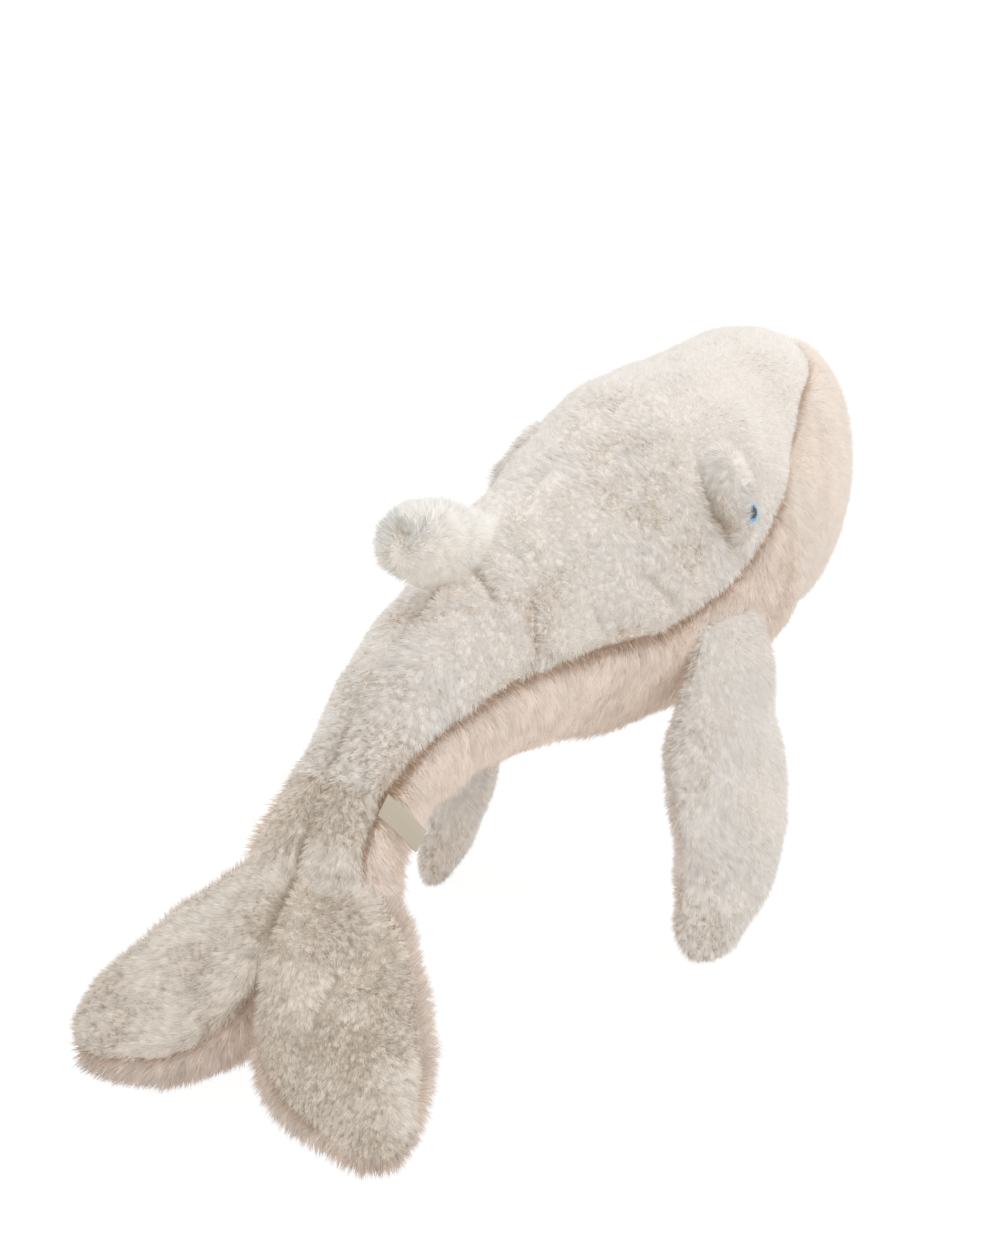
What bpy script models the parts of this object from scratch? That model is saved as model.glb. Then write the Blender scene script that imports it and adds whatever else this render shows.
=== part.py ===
"""A large plush whale that stands on the tips of its flippers and of its flukes.

Metres, +Z up, head towards -Y, the whale's left towards +X. The whale is first laid out in a
drawing frame whose floor is z = 0 and whose y starts at the nose, then it is set down on the
floor and centred over the origin.
"""
import math

import bmesh
import bpy
from mathutils import Matrix, Vector

# Cloth and clearances
body_cloth = 0.006            # fur cloth of the body, its pile pressed flat
limb_cloth = 0.004            # fur cloth of the flippers, flukes and fin
piece_gap = 0.0003            # room between pieces that touch
cut_overrun = 0.004           # how far a cutter runs past what it cuts
foot_flat_depth = 0.0005      # how far the floor presses into a resting tip

# Body, from the nose to the root of the flukes
back_length = 0.522
back_height = 0.355
body_width = 0.196
body_depth = 0.210
nose_roundness = 0.095        # length over which the nose closes

# Along back_length, up back_height, of body_width, of body_depth
body_shares = (
    (0.000, 0.713, 0.80, 0.98),
    (0.042, 0.721, 0.81, 0.99),
    (0.119, 0.735, 0.81, 0.96),
    (0.234, 0.715, 0.90, 0.95),
    (0.349, 0.670, 1.00, 1.00),
    (0.515, 0.617, 0.82, 0.84),
    (0.625, 0.597, 0.64, 0.72),
    (0.784, 0.549, 0.47, 0.52),
    (0.881, 0.479, 0.39, 0.41),
    (0.933, 0.420, 0.38, 0.35),
    (0.975, 0.352, 0.42, 0.30),
    (1.000, 0.282, 0.51, 0.29),
)

# The side seam: along the spine's length, and how far round from the back to the belly
seam_shares = (
    (0.079, 0.07),
    (0.093, 0.13),
    (0.111, 0.21),
    (0.143, 0.25),
    (0.182, 0.28),
    (0.223, 0.33),
    (0.275, 0.38),
    (0.338, 0.43),
    (0.400, 0.49),
    (0.495, 0.54),
    (0.582, 0.54),
    (0.679, 0.51),
    (0.763, 0.48),
    (0.836, 0.41),
    (0.875, 0.38),
    (0.911, 0.33),
    (1.000, 0.33),
)

# Facets of the body
back_columns = 5              # across one back panel
belly_columns = 8             # across the underside
nose_rows = 5
body_row_step = 0.040

# Tail joint, and the joint at the root of the flukes
tail_joint_share = 0.795      # along the spine
tail_lift = math.radians(15)
tail_droop = math.radians(20)
fluke_lift = math.radians(25)
fluke_droop = math.radians(25)
joint_play = math.radians(1)
groove_bottom = 0.0015        # half of the room at the bottom of a joint's groove
joint_overlap = 0.024         # how far cloth runs past a joint before its groove is cut
ball_share = 0.55             # of the stuffing that a joint's ball is cut from

# Flippers
flipper_length = 0.197
flipper_width = 0.097
flipper_thickness = 0.034
flipper_root_thickness = 0.014
flipper_root_share = 0.435    # along the spine
flipper_turn_share = 0.567    # round from the back to the belly
flipper_stand_off = 0.0030    # from the cloth out to the hinge line
flipper_splay = math.radians(8)
flipper_tip_roundness = 0.040
flipper_row_step = 0.039
flipper_raise = math.radians(75)  # outwards
flipper_tuck = math.radians(10)   # in under the belly

# Along flipper_length, back along flipper_width, of flipper_width, of flipper_thickness
flipper_shares = (
    (0.000, 0.015, 0.54, 0.41),
    (0.142, 0.090, 0.79, 0.62),
    (0.244, 0.170, 0.92, 0.82),
    (0.376, 0.230, 1.00, 0.96),
    (0.508, 0.260, 1.00, 1.00),
    (0.635, 0.300, 0.97, 0.98),
    (0.746, 0.390, 0.94, 0.92),
    (0.838, 0.480, 0.90, 0.86),
    (0.920, 0.570, 0.86, 0.80),
    (1.000, 0.660, 0.82, 0.76),
)

# Flukes, in their own plane from the root of the tail
fluke_span = 0.238
fluke_reach = 0.133
fluke_thickness = 0.059
fluke_pitch = math.radians(49.5)
fluke_tip_roundness = 0.016
fluke_row_step = 0.0215

# Out along half of fluke_span, front and rear edge along fluke_reach, of fluke_thickness
fluke_shares = (
    (0.000, -0.45, 0.46, 0.98),
    (0.048, -0.44, 0.63, 1.00),
    (0.112, -0.41, 0.74, 1.00),
    (0.200, -0.34, 0.84, 0.98),
    (0.320, -0.15, 0.91, 0.90),
    (0.400, -0.07, 0.94, 0.80),
    (0.480, -0.01, 0.96, 0.71),
    (0.600, 0.10, 0.98, 0.64),
    (0.720, 0.25, 1.00, 0.59),
    (0.840, 0.42, 0.99, 0.53),
    (0.920, 0.55, 0.96, 0.48),
    (1.000, 0.68, 0.91, 0.44),
)

# Dorsal fin
fin_height = 0.055
fin_length = 0.066
fin_width = 0.038
fin_root_share = 0.670        # along the spine
fin_root_width = 0.024
fin_tip_roundness = 0.022
fin_row_step = 0.019
fin_flop = math.radians(28)   # to either side

# Up along fin_height, back along fin_length, of fin_length, of fin_width
fin_shares = (
    (0.00, 0.00, 0.97, 0.63),
    (0.23, 0.22, 0.99, 0.88),
    (0.34, 0.30, 1.00, 0.95),
    (0.60, 0.48, 0.90, 1.00),
    (0.84, 0.60, 0.76, 0.97),
    (1.00, 0.67, 0.64, 0.92),
)

# Eyes
eye_diameter = 0.020
eye_rise = 0.0078
eye_seat_depth = 0.0012
eye_stem_diameter = 0.005
eye_stem_end = 0.002          # stem left behind the washer
eye_washer_diameter = 0.017
eye_washer_thickness = 0.0025
eye_washer_room = 0.0045      # from the cloth in to the washer
eye_tilt = math.radians(3)
eye_turn = math.radians(180)  # how far below straight ahead the eye looks
eye_rows = 5

# Padded cheek round each eye
cheek_share = 0.373           # along the spine
cheek_turn_share = 0.372      # round from the back to the belly
cheek_length = 0.050
cheek_height = 0.054
cheek_rise = 0.004
cheek_sides = 8

# Side tag
tag_length = 0.0265           # straight out from the seam
tag_width = 0.013
tag_slant = 0.35              # how far its end lies tailwards, as a share of its length
tag_ribbon = 0.0005
tag_thickness = 0.0016
tag_share = 0.910             # along the spine
tag_droop = math.radians(72)  # from straight out towards the belly
tag_up = math.radians(55)
tag_down = math.radians(8)

curve_steps = 10              # samples between two stations of the body
limb_steps = 5                # samples between two stations of a limb
round_sides = 16
seat_sides = 16
seat_facet = math.cos(math.pi / seat_sides)  # how far in a seat's facets lie, as a share
limb_columns = 10
limb_cap_rows = 3
settle_rounds = 6
small_turn = math.radians(1)  # between two points by which a direction is measured
crease_angle = math.radians(40)   # edges sharper than this aren't shaded round


def smooth_line(rows, steps):
    """Points of a smooth curve through rows of numbers, a few steps between two rows."""
    rows = [Vector(row) for row in rows]
    ends = [rows[0] * 2 - rows[1]] + rows + [rows[-1] * 2 - rows[-2]]
    points = []
    for before, start, end, after in zip(ends, ends[1:], ends[2:], ends[3:]):
        for step in range(steps):
            t = step / steps
            points.append(0.5 * (2 * start + (end - before) * t
                                 + (2 * before - 5 * start + 4 * end - after) * t ** 2
                                 + (3 * start - before - 3 * end + after) * t ** 3))
    return points + [rows[-1]]


class Form:
    """A stuffed form: oval rings strung along a line, closed round at either end or open.

    A station is (centre, half size along p, half size along q). The q axis is fixed, and the
    p axis is fixed too, or else square to the line.
    """

    def __init__(self, stations, q_axis, p_axis=None, start_cap=0.0, end_cap=0.0, steps=curve_steps):
        rows = smooth_line([(*centre, p, q) for centre, p, q in stations], steps)
        self.centres = [Vector(row[:3]) for row in rows]
        self.sizes = [(row[3], row[4]) for row in rows]
        self.arcs = [0.0]
        for before, after in zip(self.centres, self.centres[1:]):
            self.arcs.append(self.arcs[-1] + (after - before).length)
        self.length = self.arcs[-1]
        self.q_axis = q_axis
        self.p_axis = p_axis
        self.start_cap = start_cap
        self.end_cap = end_cap

    def centre(self, arc):
        """The line's point at an arc length, run straight on past its ends."""
        index = 1
        while index < len(self.arcs) - 1 and self.arcs[index] < arc:
            index += 1
        share = (arc - self.arcs[index - 1]) / (self.arcs[index] - self.arcs[index - 1])
        return self.centres[index - 1].lerp(self.centres[index], share)

    def half_sizes(self, arc):
        """The two half sizes at an arc length, held past the ends."""
        arc = min(max(arc, 0.0), self.length)
        index = 1
        while index < len(self.arcs) - 1 and self.arcs[index] < arc:
            index += 1
        share = (arc - self.arcs[index - 1]) / (self.arcs[index] - self.arcs[index - 1])
        first, last = self.sizes[index - 1], self.sizes[index]
        return tuple(a + (b - a) * share for a, b in zip(first, last))

    def tangent(self, arc):
        """The line's direction, taken over a short stretch."""
        reach = self.length / len(self.arcs)
        return (self.centre(arc + reach) - self.centre(arc - reach)).normalized()

    def axes(self, arc):
        """The p and q axes of the ring at an arc length."""
        p_axis = self.p_axis or self.tangent(arc).cross(self.q_axis).normalized()
        return p_axis, self.q_axis

    def point(self, arc, angle, inset=0.0):
        """A point of the surface, inset inwards, at an arc length and an angle from p to q."""
        shrink, place = 1.0, arc
        if self.start_cap and arc < self.start_cap:
            along = (self.start_cap - arc) / self.start_cap
            shrink = math.sqrt(max(0.0, 1 - along ** 2))
            place = self.start_cap - (self.start_cap - inset) * along
        end = self.length - arc
        if self.end_cap and end < self.end_cap:
            along = (self.end_cap - end) / self.end_cap
            shrink = math.sqrt(max(0.0, 1 - along ** 2))
            place = self.length - self.end_cap + (self.end_cap - inset) * along
        p_size, q_size = self.half_sizes(arc)
        p_axis, q_axis = self.axes(place)
        return (self.centre(place)
                + p_axis * (p_size - inset) * shrink * math.cos(angle)
                + q_axis * (q_size - inset) * shrink * math.sin(angle))

    def normal(self, arc, angle):
        """The surface's outward direction at a point."""
        reach = self.length / len(self.arcs)
        along = self.point(arc + reach, angle) - self.point(arc - reach, angle)
        around = self.point(arc, angle + small_turn) - self.point(arc, angle - small_turn)
        out = along.cross(around).normalized()
        return out if out.dot(self.point(arc, angle) - self.centre(arc)) > 0 else -out


def cap_arcs(length, rows):
    """Arc lengths of the rows that close a round end, from its tip."""
    return [length * (1 - math.cos(math.pi / 2 * row / rows)) for row in range(rows + 1)]


def even_arcs(start, end, step):
    """Arc lengths after start, up to and with end, about a step apart."""
    count = max(1, round((end - start) / step))
    return [start + (end - start) * (index + 1) / count for index in range(count)]


def new_object(name, mesh_bm):
    """An object of its own from a bmesh, faces turned outwards."""
    bmesh.ops.recalc_face_normals(mesh_bm, faces=mesh_bm.faces)
    mesh = bpy.data.meshes.new(name)
    mesh_bm.to_mesh(mesh)
    mesh_bm.free()
    obj = bpy.data.objects.new(name, mesh)
    bpy.context.scene.collection.objects.link(obj)
    return obj


def add_cell(mesh_bm, corners, sided=True):
    """A cell of a grid, split alike on every layer and, if sided, alike on both sides of the whale."""
    corners = list(dict.fromkeys(corners))
    if len(corners) < 4:
        mesh_bm.faces.new(corners)
        return
    if sided and sum(corner.co.x for corner in corners) > 0:
        corners = corners[1:] + corners[:1]
    mesh_bm.faces.new(corners[:3])
    mesh_bm.faces.new([corners[0], corners[2], corners[3]])


def solid(name, rings):
    """A closed solid from rings of points. A ring of one point is a pole."""
    mesh_bm = bmesh.new()
    rows = [[mesh_bm.verts.new(point) for point in ring] for ring in rings]
    for first, last in zip(rows, rows[1:]):
        count = max(len(first), len(last))
        for index in range(count):
            after = (index + 1) % count
            add_cell(mesh_bm, [first[index % len(first)], first[after % len(first)],
                               last[after % len(last)], last[index % len(last)]])
    for row in (rows[0], rows[-1]):
        if len(row) > 1:
            mesh_bm.faces.new(row)
    return new_object(name, mesh_bm)


def shell(name, outer, inner, keep):
    """A sheet of cloth between two grids of points: the cells for which keep(row, column) holds.

    The grids have one more row than the cells have. Columns close round on themselves, and a
    grid row of one point is a pole.
    """
    mesh_bm = bmesh.new()
    verts = {}

    def vert(layer, row, column):
        grid = (outer, inner)[layer]
        key = (layer, row, column % len(grid[row]))
        if key not in verts:
            verts[key] = mesh_bm.verts.new(grid[row][key[2]])
        return verts[key]

    columns = max(len(row) for row in outer)
    rows = len(outer) - 1
    kept = {(row, column) for row in range(rows) for column in range(columns) if keep(row, column)}
    for row, column in sorted(kept):
        ring = [(row, column), (row, column + 1), (row + 1, column + 1), (row + 1, column)]
        for layer in (0, 1):
            add_cell(mesh_bm, [vert(layer, *corner) for corner in ring])
        sides = [((row - 1, column), ring[0], ring[1]), ((row + 1, column), ring[3], ring[2]),
                 ((row, (column - 1) % columns), ring[0], ring[3]),
                 ((row, (column + 1) % columns), ring[1], ring[2])]
        for neighbour, start, end in sides:
            wall = [vert(0, *start), vert(0, *end), vert(1, *end), vert(1, *start)]
            if neighbour not in kept and wall[0] is not wall[1]:
                add_cell(mesh_bm, wall, sided=neighbour[0] != row)
    return new_object(name, mesh_bm)


def drop(obj):
    """Delete an object that was only a cutter."""
    mesh = obj.data
    bpy.data.objects.remove(obj)
    bpy.data.meshes.remove(mesh)


def combine(obj, other, operation):
    """Cut another solid out of an object, or join it on, for good."""
    boolean = obj.modifiers.new("combine", "BOOLEAN")
    boolean.operation = operation
    boolean.solver = "EXACT"
    boolean.object = other
    bpy.context.view_layer.update()
    evaluated = obj.evaluated_get(bpy.context.evaluated_depsgraph_get())
    result = bpy.data.meshes.new_from_object(evaluated)
    before = obj.data
    obj.modifiers.clear()
    obj.data = result
    result.name = obj.name
    bpy.data.meshes.remove(before)


def cut(cutter, *objects):
    """Cut one solid out of some objects, then delete it."""
    for obj in objects:
        combine(obj, cutter, "DIFFERENCE")
    drop(cutter)


def join(other, obj):
    """Join a solid on to an object, then delete it."""
    combine(obj, other, "UNION")
    drop(other)


def mirrored(obj, name):
    """A copy on the other side of the whale."""
    mesh_bm = bmesh.new()
    mesh_bm.from_mesh(obj.data)
    bmesh.ops.scale(mesh_bm, vec=(-1, 1, 1), verts=mesh_bm.verts)
    return new_object(name, mesh_bm)


def other_side(obj):
    """The left piece that matches a right one."""
    return mirrored(obj, obj.name.replace("right", "left"))


def body_stations():
    """Stations of the body, from the nose to the root of the flukes."""
    stations = []
    for along, up, wide, deep in body_shares:
        centre = Vector((0, along * back_length, up * back_height))
        stations.append((centre, deep * body_depth / 2, wide * body_width / 2))
    return stations


body = Form(body_stations(), q_axis=Vector((-1, 0, 0)), start_cap=nose_roundness)
seam_line = smooth_line([(along, turn, 0.0) for along, turn in seam_shares], curve_steps)
seam_front = seam_shares[0][0] * body.length
tail_joint = tail_joint_share * body.length


def seam_angle(arc):
    """How far round from the back the side seam lies at an arc length."""
    share = min(max(arc / body.length, seam_line[0].x), seam_line[-1].x)
    for before, after in zip(seam_line, seam_line[1:]):
        if share <= after.x:
            part = (share - before.x) / (after.x - before.x)
            return math.pi * (before.y + (after.y - before.y) * part)
    return math.pi * seam_line[-1].y


def column_angles(arc):
    """Angles of the body's columns at an arc length, from the back seam round to itself."""
    seam = seam_angle(arc)
    angles = [seam * index / back_columns for index in range(back_columns)]
    angles += [seam + (math.pi - seam) * 2 * index / belly_columns for index in range(belly_columns)]
    angles += [2 * math.pi - seam + seam * index / back_columns for index in range(back_columns)]
    return angles


def body_arcs(end):
    """Arc lengths of the body's rows from the nose to an end, with a pair at the forehead seam."""
    arcs = [arc for arc in cap_arcs(nose_roundness, nose_rows) if abs(arc - seam_front) > body_row_step / 2]
    arcs += [seam_front - piece_gap / 2, seam_front + piece_gap / 2]
    return sorted(arcs) + even_arcs(nose_roundness, end, body_row_step)


def body_grid(arcs, inset, margin=0.0):
    """Rows of points on the body. A margin narrows both sides of a seam's column by its sign."""
    rows = []
    for arc in arcs:
        if arc == 0:
            rows.append([body.point(arc, 0, inset)])
            continue
        angles = column_angles(arc)
        if margin and arc > seam_front:
            p_size, q_size = body.half_sizes(arc)
            turn = margin / min(p_size, q_size)
            angles[back_columns] += turn
            angles[back_columns + belly_columns] -= turn
        rows.append([body.point(arc, angle, inset) for angle in angles])
    return rows


def body_panel(name, arcs, side):
    """One panel of the body's cloth: the right half of the back, or the whole underside."""
    half_gap = piece_gap / 2
    margin = half_gap if side == "underside" else -half_gap
    outer = body_grid(arcs, 0.0, margin)
    inner = body_grid(arcs, body_cloth, margin)
    if side == "right":
        for grid in (outer, inner):
            for row in grid:
                if len(row) > 1:
                    row[0] = row[0] + body.q_axis * half_gap

    def keep(row, column):
        on_belly = back_columns <= column < back_columns + belly_columns
        if side == "right":
            return arcs[row] > seam_front and column < back_columns
        return on_belly or arcs[row + 1] < seam_front

    return shell(name, outer, inner, keep)


def spindle(name, pivot, axis, half_length, radius):
    """A round form about a hinge line, swelling from either end of it."""
    mesh_bm = bmesh.new()
    bmesh.ops.create_uvsphere(mesh_bm, u_segments=seat_sides, v_segments=seat_sides // 2, radius=1)
    turn = Vector((0, 0, 1)).rotation_difference(axis).to_matrix().to_4x4()
    scale = Matrix.Diagonal((radius, radius, half_length, 1))
    bmesh.ops.transform(mesh_bm, matrix=Matrix.Translation(pivot) @ turn @ scale, verts=mesh_bm.verts)
    return new_object(name, mesh_bm)


def ball(arc):
    """The ball of a joint across the body."""
    radius, half_length = (ball_share * (size - body_cloth) for size in body.half_sizes(arc))
    return spindle("ball", body.centre(arc), body.q_axis, half_length, radius)


def cup(arc):
    """The room in which a joint's ball turns."""
    sizes = (ball_share * (size - body_cloth) + piece_gap for size in body.half_sizes(arc))
    radius, half_length = (size / seat_facet for size in sizes)
    return spindle("cup", body.centre(arc), body.q_axis, half_length, radius)


def groove(name, arc, lift, droop, towards_tail):
    """A wedge that clears one side of a joint: what lies behind it, or what lies before it."""
    pivot = body.centre(arc)
    along = body.tangent(arc) * (1 if towards_tail else -1)
    up = body.axes(arc)[0]
    reach = body_width
    start = pivot - along * groove_bottom
    lift_turn = (lift + joint_play) / 2
    droop_turn = (droop + joint_play) / 2
    top = start + reach * (up * math.cos(lift_turn) - along * math.sin(lift_turn))
    bottom = start - reach * (up * math.cos(droop_turn) + along * math.sin(droop_turn))
    outline = [start, top, top + along * 2 * reach, bottom + along * 2 * reach, bottom]
    side = Vector((reach, 0, 0))
    return solid(name, [[point - side for point in outline], [point + side for point in outline]])


def torso_arcs():
    """Arc lengths of the torso's rows, a little past the tail joint."""
    return body_arcs(tail_joint + joint_overlap)


def build_torso():
    """Cloth and stuffing of the head and trunk."""
    arcs = torso_arcs()
    back = body_panel("torso_back_right", arcs, "right")
    underside = body_panel("torso_underside", arcs, "underside")
    stuffing = solid("torso_stuffing", body_grid(arcs, body_cloth + piece_gap))
    cut(groove("wedge", tail_joint, tail_lift, tail_droop, True), back, underside, stuffing)
    cut(cup(tail_joint), stuffing)
    return back, underside, stuffing


def build_tail():
    """Cloth and stuffing of the tail, from its joint to the root of the flukes."""
    start = tail_joint - joint_overlap
    arcs = [start] + even_arcs(start, body.length + joint_overlap, body_row_step)
    back = body_panel("tail_back_right", arcs, "right")
    underside = body_panel("tail_underside", arcs, "underside")
    stuffing = solid("tail_stuffing", body_grid(arcs, body_cloth + piece_gap))
    cut(groove("wedge", tail_joint, tail_lift, tail_droop, False), back, underside, stuffing)
    cut(groove("wedge", body.length, fluke_lift, fluke_droop, True), back, underside, stuffing)
    join(ball(tail_joint), stuffing)
    cut(cup(body.length), stuffing)
    return back, underside, stuffing


def limb(names, form, rows, last_row):
    """Two panels of cloth, on the q side and opposite, up to a row, and all of the stuffing."""
    half = limb_columns // 2
    pieces = []
    for name, first, sign in ((names[0], 0, 1), (names[1], half, -1)):
        shift = form.q_axis * piece_gap / 2 * sign
        grids = []
        for inset in (0.0, limb_cloth):
            rings = limb_rings(form, rows, inset)
            grids.append([[point + shift for point in ring] for ring in rings])

        def keep(row, column, first=first):
            return row < last_row and first <= column < first + half

        pieces.append(shell(name, *grids, keep))
    stuffing = solid(names[2], limb_rings(form, rows, limb_cloth + piece_gap))
    return (*pieces, stuffing)


def limb_rings(form, rows, inset):
    """Rings of a limb, a single point at each tip."""
    rings = []
    for arc in rows:
        at_tip = (form.start_cap and arc == rows[0]) or (form.end_cap and arc == rows[-1])
        count = 1 if at_tip else limb_columns
        turns = [2 * math.pi * index / count for index in range(count)]
        rings.append([form.point(arc, turn, inset) for turn in turns])
    return rings


def limb_arcs(form, step):
    """Arc lengths of a limb's rows from its root to its tip."""
    start = cap_arcs(form.start_cap, limb_cap_rows)
    tip = [form.length - arc for arc in reversed(cap_arcs(form.end_cap, limb_cap_rows))]
    return start + even_arcs(form.start_cap, tip[0], step)[:-1] + tip


def seat_root(pieces, pivot, axis, half_length, radius, limits):
    """Cut a limb back where the torso is in its way as it turns, but for its round root.

    Gives the trough about the hinge line in which the root turns.
    """
    wider = 1 / seat_facet ** 2
    root = spindle("root", pivot, axis, half_length * wider, radius * wider)
    for turn in (limits[0] - joint_play, 0, limits[1] + joint_play):
        torso = solid("torso", body_grid(torso_arcs(), -piece_gap))
        swing = Matrix.Rotation(-turn, 4, axis)
        torso.data.transform(Matrix.Translation(pivot) @ swing @ Matrix.Translation(-pivot))
        combine(torso, root, "DIFFERENCE")
        cut(torso, *pieces)
    drop(root)
    half_length = (half_length * wider + piece_gap) * wider
    return spindle("seat", pivot, axis, half_length, (radius * wider + piece_gap) * wider)


def flipper_frame():
    """Pivot of the right flipper, its hinge line, the way it hangs and its outer side."""
    arc = flipper_root_share * body.length
    angle = flipper_turn_share * math.pi
    reach = flipper_width / 4
    hinge = (body.point(arc + reach, angle) - body.point(arc - reach, angle)).normalized()
    pivot = body.point(arc, angle) + body.normal(arc, angle) * flipper_stand_off
    down = Vector((0, 0, -1))
    down = (down - hinge * down.dot(hinge)).normalized()
    down = Matrix.Rotation(flipper_splay, 3, hinge) @ down
    return pivot, hinge, down, hinge.cross(down).normalized()


def build_flipper():
    """The right flipper, which hangs from the side seam."""
    pivot, hinge, down, out = flipper_frame()
    root_radius = flipper_root_thickness / 2
    stations = [(pivot - down * root_radius, flipper_shares[0][2] * flipper_width / 2, root_radius)]
    for along, back, wide, thick in flipper_shares:
        centre = pivot + down * along * flipper_length + hinge * back * flipper_width
        stations.append((centre, wide * flipper_width / 2, thick * flipper_thickness / 2))
    form = Form(stations, q_axis=out, p_axis=hinge, start_cap=root_radius,
                end_cap=flipper_tip_roundness, steps=limb_steps)
    rows = limb_arcs(form, flipper_row_step)
    names = ("flipper_right_outer", "flipper_right_inner", "flipper_right_stuffing")
    pieces = limb(names, form, rows, len(rows))
    limits = (-flipper_tuck, flipper_raise)
    return pieces, seat_root(pieces, pivot, hinge, stations[0][1], root_radius, limits)


def fin_frame():
    """Middle of the fin's root on the back, its hinge line and the way up from the back."""
    arc = fin_root_share * body.length
    reach = fin_length / 2
    hinge = (body.point(arc + reach, 0) - body.point(arc - reach, 0)).normalized()
    return body.point(arc, 0), hinge, hinge.cross(body.q_axis).normalized()


def build_fin():
    """The dorsal fin, a stubby knob that leans back over the tail."""
    pivot, hinge, up = fin_frame()
    root_radius = fin_root_width / 2
    root_length = fin_shares[0][2] * fin_length
    stations = [(pivot - up * root_radius, root_length / 2, root_radius)]
    for rise, back, long, wide in fin_shares:
        centre = pivot + up * rise * fin_height + hinge * back * fin_length
        stations.append((centre, long * fin_length / 2, wide * fin_width / 2))
    form = Form(stations, q_axis=body.q_axis, p_axis=hinge, start_cap=root_radius,
                end_cap=fin_tip_roundness, steps=limb_steps)
    rows = limb_arcs(form, fin_row_step)
    pieces = limb(("fin_right", "fin_left", "fin_stuffing"), form, rows, len(rows))
    limits = (-fin_flop, fin_flop)
    return pieces, seat_root(pieces, pivot, hinge, root_length / 2, root_radius, limits)


def fluke_frame():
    """Root of the flukes, the way they reach back and down, and their upper side."""
    reach = Vector((0, math.cos(fluke_pitch), -math.sin(fluke_pitch)))
    up = Vector((0, math.sin(fluke_pitch), math.cos(fluke_pitch)))
    return body.centre(body.length), reach, up


def build_flukes():
    """Upper and under cloth of the right fluke, and the beads that fill both flukes.

    The beads weigh the tail down, so that the whale doesn't tip on to its nose.
    """
    root, reach, up = fluke_frame()
    stations = []
    for out, front, rear, thick in fluke_shares:
        centre = root + reach * (front + rear) / 2 * fluke_reach + Vector((-out * fluke_span / 2, 0, 0))
        stations.append((centre, (rear - front) / 2 * fluke_reach, thick * fluke_thickness / 2))
    left = [(Vector((-centre.x, centre.y, centre.z)), p, q) for centre, p, q in stations[1:]]
    form = Form(list(reversed(stations)) + left, q_axis=up, p_axis=-reach,
                start_cap=fluke_tip_roundness, end_cap=fluke_tip_roundness, steps=limb_steps)
    arcs = cap_arcs(fluke_tip_roundness, limb_cap_rows)
    arcs += even_arcs(fluke_tip_roundness, form.length / 2 - piece_gap / 2, fluke_row_step)
    last_row = len(arcs) - 1
    arcs += [form.length - arc for arc in reversed(arcs)]
    names = ("fluke_right_upper", "fluke_right_under", "fluke_beads")
    upper, under, beads = limb(names, form, arcs, last_row)
    cut(groove("wedge", body.length, fluke_lift, fluke_droop, False), upper, under, beads)
    join(ball(body.length), beads)
    return upper, under, beads


def turned(name, base, axis, profile):
    """A solid of revolution: (along the axis, radius) points from end to end."""
    turn = Vector((0, 0, 1)).rotation_difference(axis).to_matrix()
    rings = []
    for along, radius in profile:
        count = round_sides if radius else 1
        rings.append([base + turn @ Vector((radius * math.cos(2 * math.pi * side / count),
                                            radius * math.sin(2 * math.pi * side / count), along))
                      for side in range(count)])
    return solid(name, rings)


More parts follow.
